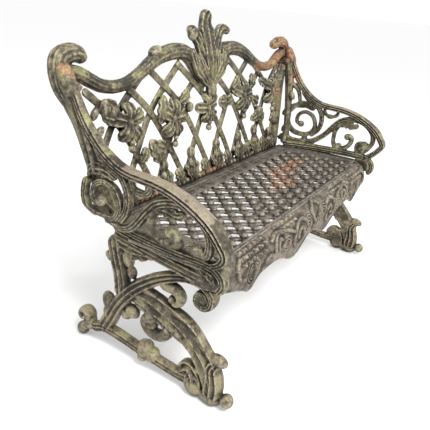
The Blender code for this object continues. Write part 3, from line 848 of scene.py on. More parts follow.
# ------------------------------------------------------------------------------ the arms
@dataclass
class Arm:
    """One scrolled arm casting."""

    side: int
    plane: EndPlane
    set_back: float = 0.011
    lower_bow: float = 0.012
    step: float = 0.0025
    voxel: float = 0.0018
    keep: float = 0.45

    def build(self) -> bpy.types.Object:
        """Draws, fuses and returns the casting."""
        art = Sculpture("arm_casting_left" if self.side < 0 else "arm_casting_right", self.step)
        art.draw(self.frame_members())
        art.draw(self.scrolls())
        art.draw(self.lugs())
        piece = art.shape(self.plane.place)
        fuse(piece, self.voxel, self.keep)
        return piece

    def frame_members(self) -> list[Stroke | Bud]:
        """The top rail, the post, the lobe that folds over them, and the foot rail."""
        rail = ((-0.196, 0.735), (-0.184, 0.708), (-0.160, 0.664), (-0.128, 0.624), (-0.085, 0.590),
                (-0.032, 0.568), (0.053, 0.562), (0.106, 0.552), (0.159, 0.531), (0.201, 0.504),
                (0.226, 0.474), (0.236, 0.454), (0.222, 0.430), (0.204, 0.412), (0.184, 0.402))
        post = ((-0.150, 0.398, -0.046), (-0.160, 0.470, -0.042), (-0.172, 0.560, -0.028),
                (-0.186, 0.640, -0.014), (-0.202, 0.700, -0.004), (-0.212, 0.748, -0.002))
        foot = ((-0.150, 0.398, -0.046), (-0.05, 0.400, -0.014), (0.08, 0.402), (0.175, 0.402),
                (0.210, 0.388), (0.219, 0.362), (0.206, 0.338))
        return [
            Stroke(rail, (0.012, 0.012, 0.013, 0.0125, 0.012, 0.012, 0.012, 0.012, 0.012, 0.012, 0.011,
                          0.010),
                   (0.010, 0.012, 0.013, 0.014, 0.016, 0.018, 0.020, 0.022, 0.023, 0.020, 0.015),
                   Section.FLUTED),
            Stroke(post, (0.013, 0.012, 0.013, 0.015, 0.017, 0.020, 0.019, 0.016),
                   (0.013, 0.013, 0.014, 0.016, 0.018, 0.018, 0.016), Section.BARK),
            Stroke(((-0.186, 0.704, 0.004), (-0.208, 0.740, 0.004), (-0.228, 0.772, 0.002)),
                   (0.018, 0.021, 0.019), (0.018, 0.021, 0.018)),
            Stroke(foot, (0.014, 0.0125, 0.0125, 0.0125, 0.012, 0.010), (0.016, 0.015, 0.015, 0.014, 0.012),
                   Section.FLUTED),
        ]

    def scrolls(self) -> list[Stroke | Bud]:
        """The scrollwork between the rails."""
        swag = ((-0.160, 0.470, -0.038), (-0.152, 0.430, -0.030), (-0.130, 0.412, -0.016),
                (-0.060, 0.413), (-0.010, 0.444), (0.030, 0.492), (0.060, 0.520), (0.106, 0.534),
                (0.150, 0.527), (0.186, 0.498), (0.196, 0.460), (0.178, 0.425), (0.150, 0.420),
                (0.140, 0.440), (0.158, 0.452))
        ring = ((-0.168, 0.520, -0.012), (-0.170, 0.476, -0.006), (-0.150, 0.446), (-0.106, 0.436),
                (-0.066, 0.446), (-0.050, 0.480), (-0.066, 0.516), (-0.100, 0.528), (-0.128, 0.512),
                (-0.132, 0.484), (-0.112, 0.472))
        band = ((-0.126, 0.610), (-0.086, 0.572), (-0.045, 0.552), (-0.026, 0.514), (-0.032, 0.470),
                (-0.060, 0.436))
        stem = ((-0.176, 0.640, -0.014), (-0.146, 0.610), (-0.132, 0.570), (-0.126, 0.545))
        sprig = ((0.060, 0.512), (0.040, 0.478), (0.040, 0.440), (0.058, 0.418), (0.084, 0.416),
                 (0.108, 0.432), (0.112, 0.458), (0.092, 0.470))
        tie = ((-0.020, 0.556), (-0.016, 0.538), (0.006, 0.528), (0.030, 0.534), (0.042, 0.552))
        curve = ((-0.166, 0.520, -0.028), (-0.150, 0.545, -0.012), (-0.120, 0.556), (-0.085, 0.556),
                 (-0.062, 0.542))
        items: list[Stroke | Bud] = [
            Stroke(swag, (0.009, 0.010, 0.012, 0.011, 0.012, 0.012, 0.011, 0.010, 0.009, 0.008), 0.012,
                   Section.FLUTED),
            Stroke(ring, (0.010, 0.010, 0.009, 0.009, 0.008, 0.008, 0.007), 0.011, Section.FLUTED),
            Stroke(band, (0.008, 0.010, 0.010, 0.009), 0.012, Section.FLUTED),
            Stroke(stem, (0.009, 0.008, 0.007), 0.010),
            Stroke(sprig, (0.009, 0.009, 0.008, 0.009, 0.010, 0.009), 0.011, Section.ROUND),
            Stroke(tie, (0.006, 0.009, 0.009, 0.006), 0.009, Section.LEAF, 3),
            Stroke(curve, (0.010, 0.013, 0.016, 0.012), 0.013, Section.LEAF, 3, 0.2),
            Stroke(((0.052, 0.505), (0.080, 0.510), (0.112, 0.505), (0.130, 0.516)),
                   (0.012, 0.018, 0.014, 0.008), 0.011, Section.LEAF, 4, 0.35),
            Bud((-0.112, 0.476), (0.014, 0.013, 0.014)),
            Bud((0.166, 0.436), (0.024, 0.022, 0.019), 0.3, 7),
            Stroke(((0.150, 0.386, -0.008), (0.190, 0.376, -0.006), (0.196, 0.350, -0.008)),
                   (0.012, 0.020, 0.016), 0.014, Section.LEAF, 2.5, 0.2),
            Bud((0.068, 0.421), (0.015, 0.013, 0.014)),
            Bud((0.094, 0.462), (0.014, 0.013, 0.013)),
            Bud((-0.080, 0.414), (0.020, 0.016, 0.017), 1.5, 6, 0.15),
            Bud((-0.158, 0.452, -0.036), (0.014, 0.022, 0.014), 0.3, 5),
        ]
        for f, z, tilt in ((-0.184, 0.520, 0.6), (-0.178, 0.455, 0.4), (-0.164, 0.590, -0.5)):
            items.append(Bud((f + 0.008, z, -0.035), (0.012, 0.018, 0.012), tilt, 5))
        return items

    def lugs(self) -> list[Stroke | Bud]:
        """Two lugs that reach inwards to the back's bolts."""
        items: list[Stroke | Bud] = []
        for level in ("lower", "upper"):
            word = "left" if self.side < 0 else "right"
            low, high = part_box(f"arm_bolt_{word}_{level}")
            middle = (low + high) / 2
            forward = -low.y - self.set_back
            bow = self.plane.bow if level == "upper" else self.lower_bow
            lift = abs(middle.x) - self.plane.x - bow
            items.append(Stroke(((forward, middle.z, lift), (forward + 0.002, middle.z, lift * 0.5),
                                 (forward + 0.004, middle.z, 0.0)), 0.012, 0.010))
        return items


# ------------------------------------------------------------------------------ the legs
@dataclass
class Leg:
    """One end frame under the seat."""

    side: int
    plane: EndPlane
    step: float = 0.003
    voxel: float = 0.0019
    keep: float = 0.42

    def build(self) -> bpy.types.Object:
        """Draws, fuses and returns the casting."""
        art = Sculpture("leg_casting_left" if self.side < 0 else "leg_casting_right", self.step)
        art.draw(self.members())
        art.draw(self.ornament())
        art.draw(self.feet())
        piece = art.shape(self.plane.place)
        fuse(piece, self.voxel, self.keep)
        level_feet(piece)
        return piece

    def members(self) -> list[Stroke | Bud]:
        """The band, the reeded sweep with its volute, the broad leaf leg, and the base bar."""
        sweep = [(-0.162, 0.062), (-0.135, 0.108), (-0.100, 0.172), (-0.055, 0.228), (0.0, 0.276),
                 (0.053, 0.309), (0.106, 0.330), (0.148, 0.332), (0.176, 0.318)]
        sweep += spiral((0.158, 0.294), 0.028, 0.006, 20, -400)
        leaf = ((-0.075, 0.212), (-0.020, 0.224), (0.030, 0.214), (0.070, 0.200), (0.110, 0.184),
                (0.150, 0.152), (0.182, 0.112), (0.198, 0.070), (0.206, 0.036))
        base = ((-0.206, 0.048), (-0.190, 0.050), (-0.160, 0.062), (-0.100, 0.060), (0.0, 0.046),
                (0.090, 0.038), (0.150, 0.040))
        return [
            Stroke(sweep, (0.024, 0.023, 0.022, 0.022, 0.021, 0.020, 0.018, 0.016, 0.014, 0.012, 0.010,
                           0.009, 0.008, 0.007),
                   (0.018, 0.018, 0.018, 0.018, 0.018, 0.018, 0.018, 0.020, 0.021, 0.018),
                   Section.FLUTED),
            Stroke(leaf, (0.022, 0.028, 0.032, 0.034, 0.034, 0.033, 0.030, 0.027, 0.020),
                   (0.016, 0.020, 0.022, 0.022, 0.024), Section.LEAF, 3, 0.10),
            Stroke(((-0.118, 0.374), (0.010, 0.366, 0.010), (0.110, 0.356, 0.012),
                    (0.168, 0.348, 0.006)), 0.0175, 0.017, Section.FLUTED),
            Stroke(((-0.120, 0.366), (-0.112, 0.318), (-0.096, 0.250), (-0.094, 0.190)),
                   (0.022, 0.023, 0.023, 0.022), 0.018, Section.FLUTED),
            Stroke(base, (0.017, 0.016, 0.015, 0.015, 0.015, 0.015, 0.017), 0.015, Section.FLUTED),
        ]

    def ornament(self) -> list[Stroke | Bud]:
        """Curls, scalloped leaves and paired buds."""
        hook = ((0.030, 0.292), (0.052, 0.284), (0.078, 0.282), (0.094, 0.266), (0.088, 0.248),
                (0.070, 0.247))
        curl = ((0.010, 0.196), (0.004, 0.172), (-0.012, 0.152), (0.000, 0.132), (0.024, 0.124),
                (0.050, 0.134), (0.062, 0.156), (0.052, 0.164))
        return [
            Stroke(hook, (0.012, 0.016, 0.015, 0.013, 0.011, 0.010), 0.016, Section.ROUND),
            Bud((0.070, 0.252), (0.012, 0.012, 0.014)),
            Bud((0.158, 0.294), (0.022, 0.022, 0.016)),
            Stroke(curl, (0.020, 0.018, 0.015, 0.015, 0.016, 0.015, 0.011), 0.018, Section.ROUND),
            Bud((0.010, 0.150), (0.015, 0.016, 0.016)),
            Stroke(((-0.052, 0.204), (0.000, 0.196), (0.050, 0.182), (0.095, 0.160), (0.120, 0.142)),
                   (0.012, 0.026, 0.030, 0.022, 0.010), 0.014, Section.LEAF, 4, 0.30),
            Stroke(((-0.112, 0.345), (-0.066, 0.338), (-0.020, 0.344), (0.012, 0.350)),
                   (0.014, 0.026, 0.020, 0.010), 0.015, Section.LEAF, 3.5, 0.30),
            Bud((-0.142, 0.156), (0.020, 0.030, 0.017), -0.35, 6),
            Bud((-0.146, 0.118), (0.014, 0.026, 0.015), -0.1, 5),
            Bud((-0.058, 0.160), (0.024, 0.020, 0.017), 0.5, 6),
            Bud((-0.078, 0.142), (0.016, 0.018, 0.015), 0.8, 5),
            Bud((-0.132, 0.300), (0.020, 0.013, 0.015), 0.5, 5),
            Bud((-0.074, 0.312), (0.015, 0.026, 0.016), -0.3, 6),
            Bud((-0.062, 0.276), (0.013, 0.018, 0.014), -0.4, 5),
            Bud((0.134, 0.136), (0.013, 0.013, 0.014)),
            Bud((0.162, 0.084), (0.014, 0.012, 0.014)),
            Bud((0.096, 0.168), (0.020, 0.014, 0.018), 1.1, 5),
        ]

    def feet(self) -> list[Stroke | Bud]:
        """Ball-and-lobe rear foot, bulbous front foot, and the collar on the base bar."""
        return [
            Stroke(spiral((-0.232, 0.076), 0.021, 0.004, -60, 470, 14), (0.011, 0.010, 0.009, 0.008),
                   0.020),
            Bud((-0.232, 0.076), (0.022, 0.022, 0.014)),
            Bud((-0.246, 0.020), (0.019, 0.020, 0.018), 0.3),
            Stroke(((-0.196, 0.050), (-0.222, 0.046), (-0.240, 0.026)), (0.018, 0.017, 0.015), 0.018),
            Stroke(((-0.206, 0.052), (-0.212, 0.064), (-0.222, 0.066)), 0.015, 0.018),
            Stroke(((0.104, 0.052), (0.128, 0.074), (0.146, 0.062), (0.152, 0.034), (0.158, 0.012)),
                   (0.016, 0.020, 0.024, 0.026, 0.022), (0.020, 0.024, 0.026), Section.LEAF, 2, 0.1),
            Bud((0.152, 0.026), (0.032, 0.026, 0.022)),
            Bud((0.200, 0.017), (0.034, 0.018, 0.022), 0, 5),
            Bud((0.246, 0.030), (0.018, 0.019, 0.018)),
            Stroke(((0.204, 0.016), (0.206, 0.070), (0.200, 0.110), (0.214, 0.134)),
                   (0.026, 0.026, 0.020, 0.014), (0.026, 0.024, 0.018), Section.FLUTED),
            Bud((0.214, 0.138), (0.025, 0.014, 0.016), 0.25),
            Bud((-0.010, 0.062), (0.030, 0.024, 0.024), 1.5, 6, 0.15),
            Bud((0.012, 0.052), (0.024, 0.022, 0.022), 1.3, 6, 0.15),
            Bud((-0.018, 0.034), (0.016, 0.014, 0.020)),
        ]


def level_feet(piece: bpy.types.Object) -> None:
    """Rests the lowest parts of a leg flat on the ground.

    Args:
        piece: the leg casting.
    """
    for vert in piece.data.vertices:
        if vert.co.z < 0:
            vert.co.z = 0.0
    piece.data.update()


# ------------------------------------------------------------------------------ the seat
@dataclass
class Seat:
    """The seat casting: rims, woven grille and rolled apron."""

    top: float
    half: float = 0.455
    rear: float = 0.095
    front: float = -0.172
    pitch: float = 0.0424
    strip_half: float = 0.0092
    strip_depth: float = 0.0042
    strip_tuck: float = 0.010
    weave_drop: float = 0.0076
    weave_gap: float = 0.0006
    weave_wave: float = 0.0016
    boss: Point = (0.0094, 0.0094, 0.0082)
    boss_margin: float = 0.004
    step: float = 0.006
    apron_columns: int = 601
    apron_rows: int = 81
    apron_depth: float = 0.0055
    corner_edge: float = 0.345
    corner_rise: float = 0.035

    def build(self) -> list[bpy.types.Object]:
        """Builds the grille, the rims and the apron."""
        return [self.grille(), self.rims(), self.apron()]

    def _flat(self, points: np.ndarray) -> np.ndarray:
        """Maps (x, y, lift) drawing points to the seat's top."""
        return points + np.array([0.0, 0.0, self.top])

    def grille(self) -> bpy.types.Object:
        """The woven strips, running both ways at 45 degrees, with a boss on each crossing."""
        art = Sculpture("seat_grille", self.step)
        middle = (self.rear + self.front) / 2
        count = int((2 * self.half + self.rear - self.front) / self.pitch / math.sqrt(2)) + 2
        for lean in (-1, 1):
            for k in range(-count, count + 1):
                offset = k * self.pitch * math.sqrt(2)
                line = self._clip(offset, lean, middle)
                if line:
                    art.stroke(Stroke(line, self.strip_half, self.strip_depth, Section.STRAP))
        for i in range(-2 * count, 2 * count):
            for j in range(-2 * count, 2 * count):
                if (i + j) % 2:
                    continue
                x, y = i * self.pitch / math.sqrt(2), middle + j * self.pitch / math.sqrt(2)
                inside = self.front + self.boss_margin < y < self.rear - self.boss_margin
                if inside and abs(x) < self.half - self.boss_margin:
                    art.bud(Bud((x, y, 0.0), self.boss))
        piece = art.shape(self._flat)
        roughen(piece, CAST_UNEVENNESS)
        piece.data.shade_smooth()
        return piece

    def _clip(self, offset: float, lean: int, middle: float) -> list[Point]:
        """The part of one slanting strip that lies inside the rims.

        Args:
            offset: where it crosses the seat's middle line.
            lean: 1 or -1, which way it slants.
            middle: the grille's middle line.

        Returns:
            Its points, or an empty list.
        """
        reach = (self.rear - self.front) / 2 + self.strip_tuck
        points = []
        for t in np.arange(-reach, reach + 1e-6, 0.0053):
            x = offset + lean * t
            # Strips of lean 1 come out level here; those of lean -1 rise and fall.
            phase = math.pi * (x + lean * (offset - x)) / (self.pitch * math.sqrt(2)) * 2
            lift = -self.weave_drop + lean * (self.weave_gap + self.weave_wave * math.cos(phase))
            if abs(x) < self.half + self.strip_tuck:
                points.append((x, middle + t, lift))
        return points if len(points) > 3 else []

    def rims(self) -> bpy.types.Object:
        """The flat borders: a fluted rear band, dished side rims and the bead along the front."""
        art = Sculpture("seat_rims", self.step)
        deep = -0.0065
        rear_lines = ((0.163, 0.010, 0.0060), (0.150, 0.0085, 0.0068), (0.136, 0.010, 0.0056),
                      (0.118, 0.013, 0.0060), (0.101, 0.0065, 0.0068))
        for y, half, depth in rear_lines:
            art.stroke(Stroke(((-0.520, y, deep), (0, y, deep), (0.520, y, deep)), half, depth,
                              Section.STRAP))
        for side in (-1, 1):
            for x, half, depth in ((0.463, 0.010, 0.0066), (0.482, 0.014, 0.0056), (0.506, 0.014, 0.0054),
                                   (0.530, 0.014, 0.0062), (0.548, 0.011, 0.0060)):
                low = self.front + 0.012 if x > 0.5 else self.front - 0.002
                high = 0.152 - 2.6 * max(x - 0.512, 0)
                art.stroke(Stroke(((side * x, low, deep), (side * x, 0, deep), (side * x, high, deep)),
                                  half, depth, Section.STRAP))
        for y, half in ((self.front + 0.001, 0.0058), (self.front - 0.009, 0.0036)):
            art.stroke(Stroke(((-0.500, y, deep + 0.002), (0, y, deep + 0.002),
                               (0.500, y, deep + 0.002)), half, 0.0052, Section.ROUND))
        self._flanges(art)
        piece = art.shape(self._flat)
        roughen(piece, CAST_UNEVENNESS)
        piece.data.shade_smooth()
        return piece

    def _flanges(self, art: Sculpture) -> None:
        """The hidden flanges under the rims that take the bolts."""
        for side in (-1, 1):
            for drop in (-0.020, -0.034, -0.046):
                art.stroke(Stroke(((side * 0.499, -0.160, drop), (side * 0.499, 0.0, drop),
                                   (side * 0.499, 0.150, drop)), 0.004, 0.009, Section.STRAP))
            art.stroke(Stroke(((side * 0.536, -0.150, -0.024), (side * 0.536, 0.0, -0.024),
                               (side * 0.536, 0.090, -0.024)), 0.005, 0.014, Section.STRAP))
        for drop in (-0.018, -0.032, -0.042):
            art.stroke(Stroke(((-0.495, 0.155, drop), (0, 0.155, drop), (0.495, 0.155, drop)), 0.004, 0.009,
                              Section.STRAP))

    @staticmethod
    def drop(a: np.ndarray) -> np.ndarray:
        """Height of the apron's scalloped edge at distances from the seat's middle."""
        lobe = 0.045 * np.exp(-((a - 0.125) / 0.080) ** 2)
        leaf = 0.026 * np.exp(-((a - 0.400) / 0.035) ** 2)
        return 0.294 - lobe - leaf + 0.030 * np.clip((a - 0.45) / 0.08, 0, 1)

    def apron(self) -> bpy.types.Object:
        """The rolled front, a relief modelled over its curved face, wrapped round both corners."""
        along = np.linspace(-1, 1, self.apron_columns)
        plan, outward, reach = self._plan(along)
        down = np.linspace(0, 1, self.apron_rows)
        front, back = [], []
        for (px, py), (nx, ny), r in zip(plan, outward, reach):
            low = float(self.drop(np.array(abs(px))))
            low = low + (self.corner_edge - low) * float(np.clip((py - self.front) / self.corner_rise, 0, 1))
            out, up = self._profile(down, low)
            arc = np.concatenate([[0], np.cumsum(np.hypot(np.diff(out), np.diff(up)))])
            tangent = np.gradient(np.stack([out * r, up], axis=1), axis=0)
            tangent /= np.linalg.norm(tangent, axis=1)[:, None]
            normal = np.stack([-tangent[:, 1], tangent[:, 0]], axis=1)
            normal *= np.sign(normal[:, :1] + 1e-9)
            relief = Relief.height(np.full_like(arc, px), arc, arc[-1])
            for rows, push in ((front, relief), (back, np.full_like(relief, -self.apron_depth))):
                o, z = out * r + normal[:, 0] * push, up + normal[:, 1] * push
                rows.append(np.stack([px + nx * o, py + ny * o, z], axis=1))
        return self._sheet(np.array(front), np.array(back))

    def _plan(self, along: np.ndarray) -> tuple[np.ndarray, np.ndarray, np.ndarray]:
        """The bead line seen from above, running round both front corners.

        Args:
            along: places along the line, from -1 at the left to 1 at the right.

        Returns:
            Points, outward directions and how far the roll stands out there.
        """
        straight, corner, tail = 0.500, 0.036, 0.006
        total = straight + corner * math.pi / 2 + tail
        points, outward, reach = [], [], []
        for value in along:
            s, side = abs(value) * total, math.copysign(1, value)
            bend = min(max((s - straight) / corner, 0), math.pi / 2)
            past = max(s - straight - corner * math.pi / 2, 0)
            x = min(s, straight) + corner * math.sin(bend)
            y = self.front + corner * (1 - math.cos(bend)) + past
            points.append((side * x, y))
            outward.append((side * math.sin(bend), -math.cos(bend)))
            reach.append(1 - 0.62 * bend / (math.pi / 2))
        return np.array(points), np.array(outward), np.array(reach)

    def _profile(self, down: np.ndarray, low: float) -> tuple[np.ndarray, np.ndarray]:
        """The roll's outline from the bead to the lower edge.

        Args:
            down: places along it, from 0 to 1.
            low: height of the lower edge.

        Returns:
            How far out and how high each place is.
        """
        knots = ((0.0, self.top - 0.002), (0.014, self.top - 0.004), (0.028, self.top - 0.014),
                 (0.038, self.top - 0.034), (0.041, self.top - 0.058),
                 (0.038, (self.top - 0.058 + low) / 2), (0.034, low))
        curve = smooth_curve(knots, 0.002)
        even = np.linspace(0, 1, len(curve))
        return np.interp(down, even, curve[:, 0]), np.interp(down, even, curve[:, 1])

    @staticmethod
    def _sheet(front: np.ndarray, back: np.ndarray) -> bpy.types.Object:
        """Closes two facing grids into one thick sheet."""
        rows, cols = front.shape[:2]
        bm = bmesh.new()
        grids = []
        for grid in (front, back):
            grids.append([[bm.verts.new(tuple(p)) for p in row] for row in grid])
        for i in range(rows - 1):
            for j in range(cols - 1):
                for grid in grids:
                    bm.faces.new((grid[i][j], grid[i + 1][j], grid[i + 1][j + 1], grid[i][j + 1]))
        f, b = grids
        rim = [(i, 0) for i in range(rows)] + [(rows - 1, j) for j in range(1, cols)]
        rim += [(i, cols - 1) for i in range(rows - 2, -1, -1)] + [(0, j) for j in range(cols - 2, 0, -1)]
        for (i, j), (m, n) in zip(rim, rim[1:] + rim[:1]):
            bm.faces.new((f[i][j], f[m][n], b[m][n], b[i][j]))
        bmesh.ops.recalc_face_normals(bm, faces=bm.faces)
        mesh = bpy.data.meshes.new("seat_apron")
        bm.to_mesh(mesh)
        bm.free()
        mesh.shade_smooth()
        piece = bpy.data.objects.new("seat_apron", mesh)
        bpy.context.scene.collection.objects.link(piece)
        roughen(piece, CAST_UNEVENNESS)
        return piece


class Relief:
    """The apron's relief: scrolls, shells, pyramid panels and leaves, alike on both sides."""

    EDGE_HEIGHT, SCROLL_HEIGHT, STUD_HEIGHT, SHELL_HEIGHT = 0.0022, 0.0075, 0.0085, 0.0045
    STUD_LONG, STUD_TALL, SHELL_RIDGE, SHELL_EYE = 0.026, 0.016, 0.0085, 0.008

    SCROLLS = (
        (spiral((0.118, 0.085), 0.050, 0.010, 200, 560, 30), 0.0050),
        (spiral((0.250, 0.062), 0.034, 0.008, 20, -500, 26), 0.0045),
        (((0.000, 0.016), (0.018, 0.026), (0.030, 0.044), (0.020, 0.066), (0.004, 0.082),
          (0.006, 0.100)), 0.0050),
        (((0.165, 0.060), (0.200, 0.044), (0.232, 0.036), (0.270, 0.030), (0.300, 0.040)), 0.0045),
        (((0.285, 0.090), (0.310, 0.074), (0.332, 0.078), (0.352, 0.096)), 0.0045),
        (((0.400, 0.048), (0.398, 0.080), (0.400, 0.112)), 0.0060),
        (((0.460, 0.030), (0.478, 0.050), (0.470, 0.076), (0.448, 0.082)), 0.0045),
    )

    @staticmethod
    def height(x: np.ndarray, down: np.ndarray, edge: float) -> np.ndarray:
        """How far the relief stands out.

        Args:
            x: place along the seat.
            down: distance down the face from the bead.
            edge: distance of the lower edge.

        Returns:
            The height at each place.
        """
        a = np.abs(x)
        total = Relief.EDGE_HEIGHT * np.exp(-((edge - down - 0.004) / 0.0035) ** 2)
        for points, half in Relief.SCROLLS:
            line = smooth_curve(points, 0.003)[:, :2]
            near = np.min(np.hypot(a[:, None] - line[None, :, 0], down[:, None] - line[None, :, 1]), axis=1)
            ridge = Relief.SCROLL_HEIGHT * np.clip(1 - (near / (1.5 * half)) ** 2, 0, 1) ** 0.7
            total = np.maximum(total, ridge)
        for low, high, top, bottom in ((0.325, 0.455, 0.010, 0.056), (0.140, 0.262, 0.008, 0.034)):
            inside = (a > low) & (a < high) & (down > top) & (down < bottom)
            row = (down - top) / Relief.STUD_TALL
            u = np.abs(((a - low) / Relief.STUD_LONG + 0.5 * (np.floor(row) % 2)) % 1 - 0.5) * 2
            v = np.abs(row % 1 - 0.5) * 2
            stud = Relief.STUD_HEIGHT * np.clip(1 - np.maximum(u, v), 0, 1)
            total = np.where(inside, np.maximum(total, stud), total)
        for cx, cy, radius, ribs in ((0.205, 0.085, 0.034, 13), (0.060, 0.070, 0.036, 11),
                                     (0.400, 0.085, 0.040, 15)):
            dx, dy = a - cx, down - cy
            far = np.hypot(dx, dy)
            ripple = 2 * math.pi * far / Relief.SHELL_RIDGE + 0.5 * np.cos(ribs * np.arctan2(dx, dy))
            fan = 0.5 + 0.5 * np.cos(ripple)
            shell = Relief.SHELL_HEIGHT * fan * np.clip(1 - (far / radius) ** 4, 0, 1)
            total = np.maximum(total, shell * np.clip(far / Relief.SHELL_EYE, 0, 1))
        return total * np.clip(down / 0.006, 0, 1)


# ------------------------------------------------------------------------------ stage and camera
@dataclass(frozen=True)
class Studio:
    """Camera, soft light and floor."""

    eye: Colour = (-1.345, -0.650, 0.926)
    turn: float = -59.1825
    pitch: float = 23.8642
    roll: float = 4.9583
    lens: float = 40.65
    sensor: float = 36.0
    shift: float = 0.0028
    sky: float = 1.12
    floor_half: float = 80.0
    floor_drop: float = 0.0005

    def camera(self) -> None:
        """Puts up the camera."""
        a, e, r = (math.radians(v) for v in (self.turn, self.pitch, self.roll))
        back = Vector((math.sin(a) * math.cos(e), -math.cos(a) * math.cos(e), math.sin(e)))
        right = Vector((0, 0, 1)).cross(back).normalized()
        up = back.cross(right)
        across = right * math.cos(r) + up * math.sin(r)
        above = up * math.cos(r) - right * math.sin(r)
        data = bpy.data.cameras.new("camera")
        data.lens = self.lens
        data.sensor_width = self.sensor
        data.shift_x = self.shift
        data.clip_start = 0.01
        data.clip_end = 300
        eye = bpy.data.objects.new("camera", data)
        axes = Matrix((across, above, back)).transposed().to_4x4()
        eye.matrix_world = Matrix.Translation(self.eye) @ axes
        bpy.context.scene.collection.objects.link(eye)
        bpy.context.scene.camera = eye

    def lamp(self, name: str, place: Colour, aim: Colour, size: float, power: float) -> None:
        """Adds one soft rectangular lamp.

        Args:
            name: its name.
            place: where it hangs.
            aim: the point it faces.
            size: its width.
            power: its power in watts.
        """
        data = bpy.data.lights.new(name, "AREA")
        data.size = size
        data.energy = power
        lamp = bpy.data.objects.new(name, data)
        lamp.location = place
        lamp.rotation_mode = "QUATERNION"
        lamp.rotation_quaternion = (Vector(aim) - Vector(place)).to_track_quat("-Z", "Y")
        bpy.context.scene.collection.objects.link(lamp)

    def light(self) -> None:
        """Sets the pale surroundings and the lamps."""
        world = bpy.data.worlds.new("studio")
        world.use_nodes = True
        world.node_tree.nodes["Background"].inputs[0].default_value = (1.0, 1.0, 1.0, 1.0)
        world.node_tree.nodes["Background"].inputs[1].default_value = self.sky
        bpy.context.scene.world = world
        self.lamp("key", (-1.2, -1.6, 2.6), (0, 0, 0.4), 1.1, 95)
        self.lamp("fill", (1.8, -1.4, 1.8), (0, 0, 0.4), 2.0, 18)
        bpy.context.scene.view_settings.view_transform = "Standard"

    def floor(self) -> None:
        """Lays the pale floor."""
        bm = bmesh.new()
        bmesh.ops.create_grid(bm, x_segments=8, y_segments=8, size=self.floor_half)
        mesh = bpy.data.meshes.new("floor")
        bm.to_mesh(mesh)
        bm.free()
        floor = bpy.data.objects.new("floor", mesh)
        floor.location.z = -self.floor_drop
        bpy.context.scene.collection.objects.link(floor)
        desk = Desk("floor_paint")
        desk.shader.inputs["Base Color"].default_value = (0.86, 0.86, 0.86, 1)
        desk.shader.inputs["Roughness"].default_value = 0.9
        mesh.materials.append(desk.material)


# ------------------------------------------------------------------------------ assembly
BACK_FOOT_Y, BACK_RAKE = 0.184, math.radians(8)
ARM_OUT, ARM_BOW, LEG_OUT = 0.556, 0.030, 0.530

CORNER_RUST = (Spot((0.56, 0.23, 0.76), (0.14, 0.12, 0.09)),
               Spot((0.42, 0.22, 0.715), (0.16, 0.08, 0.05)),
               Spot((0.47, 0.21, 0.60), (0.06, 0.06, 0.06)),
               Spot((-0.33, 0.19, 0.40), (0.10, 0.06, 0.03)),
               Spot((0.0, 0.19, 0.40), (0.12, 0.06, 0.025)))
ARM_RUST = (Spot((-0.586, 0.20, 0.775), (0.05, 0.05, 0.045)),
            Spot((0.586, 0.20, 0.76), (0.06, 0.06, 0.07)),
            Spot((0.58, 0.16, 0.66), (0.05, 0.04, 0.05)))
ARM_BARE = (Spot((-0.586, -0.15, 0.54), (0.06, 0.12, 0.05)),
            Spot((-0.586, -0.02, 0.57), (0.06, 0.12, 0.03)),
            Spot((0.586, -0.05, 0.57), (0.05, 0.16, 0.03)))
SEAT_RUST = (Spot((0.08, -0.05, 0.389), (0.12, 0.055, 0.03)),
             Spot((0.21, 0.0, 0.389), (0.15, 0.055, 0.03)),
             Spot((0.33, 0.01, 0.389), (0.08, 0.04, 0.03)),
             Spot((-0.29, 0.03, 0.389), (0.03, 0.05, 0.03)))

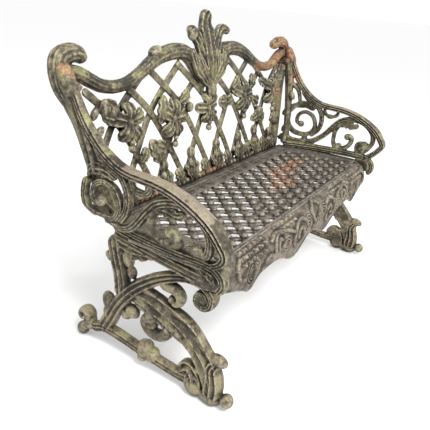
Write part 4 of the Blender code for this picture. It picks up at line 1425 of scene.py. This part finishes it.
BACK_IRON = WeatheredIron("old_iron_back", rust_spots=CORNER_RUST)
ARM_IRON = WeatheredIron("old_iron_arm", rust_spots=ARM_RUST, bare_spots=ARM_BARE)
LEG_IRON = WeatheredIron("old_iron_leg", body=(0.125, 0.104, 0.068), lichen_share=0.50)
SEAT_IRON = WeatheredIron("old_iron_seat", body=(0.066, 0.057, 0.046), worn_edge_and_highlight=(0.30, 0.26, 0.21),
                          lichen_share=0.12, rust_spots=SEAT_RUST)
APRON_IRON = WeatheredIron("old_iron_apron", body=(0.092, 0.075, 0.053), worn_edge_and_highlight=(0.34, 0.29, 0.21),
                           lichen_share=0.25)
FIXING_IRON = WeatheredIron("rusty_fixing", body=(0.075, 0.050, 0.034), worn_edge_and_highlight=(0.24, 0.15, 0.09),
                            lichen_share=0.1)


def finish_piece(piece: bpy.types.Object, iron: bpy.types.Material, slot: str, *nodes: str) -> None:
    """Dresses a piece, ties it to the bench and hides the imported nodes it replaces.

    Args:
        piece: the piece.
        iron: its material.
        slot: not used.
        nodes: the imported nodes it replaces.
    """
    piece.data.materials.clear()
    piece.data.materials.append(iron)
    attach(piece, "root")
    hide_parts(*nodes)
    LOG.info("%s: %d faces", piece.name, len(piece.data.polygons))


def dress_fixings(iron: bpy.types.Material) -> None:
    """Gives every packed bolt, nut and washer its rusty finish.

    Args:
        iron: the material.
    """
    for name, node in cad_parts.items():
        if any(word in name for word in ("bolt", "nut", "washer")):
            node.data.materials.clear()
            node.data.materials.append(iron)
            LOG.info("%s: packed node dressed", name)


def main() -> None:
    """Builds the bench, the stage and the camera."""
    logging.basicConfig(level=logging.INFO, format="%(message)s")
    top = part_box("seat_casting")[1].z
    back = Back(BackPlane(Vector((0, BACK_FOOT_Y, top)), BACK_RAKE))
    finish_piece(back.build(), BACK_IRON.write(), "iron_back", "back_panel")
    seat_iron, apron_iron = SEAT_IRON.write(), APRON_IRON.write()
    for piece in Seat(top).build():
        iron = apron_iron if piece.name == "seat_apron" else seat_iron
        finish_piece(piece, iron, "iron_seat", "seat_casting")
    arm_iron, leg_iron = ARM_IRON.write(), LEG_IRON.write()
    for side, word in ((-1, "left"), (1, "right")):
        arm = Arm(side, EndPlane(side, ARM_OUT, ARM_BOW))
        finish_piece(arm.build(), arm_iron, "iron_ends", f"{word}_arm")
        leg = Leg(side, EndPlane(side, LEG_OUT))
        finish_piece(leg.build(), leg_iron, "iron_ends", f"{word}_leg")
    dress_fixings(FIXING_IRON.write())
    studio = Studio()
    studio.camera()
    studio.light()
    studio.floor()


if __name__ == "__main__":
    main()
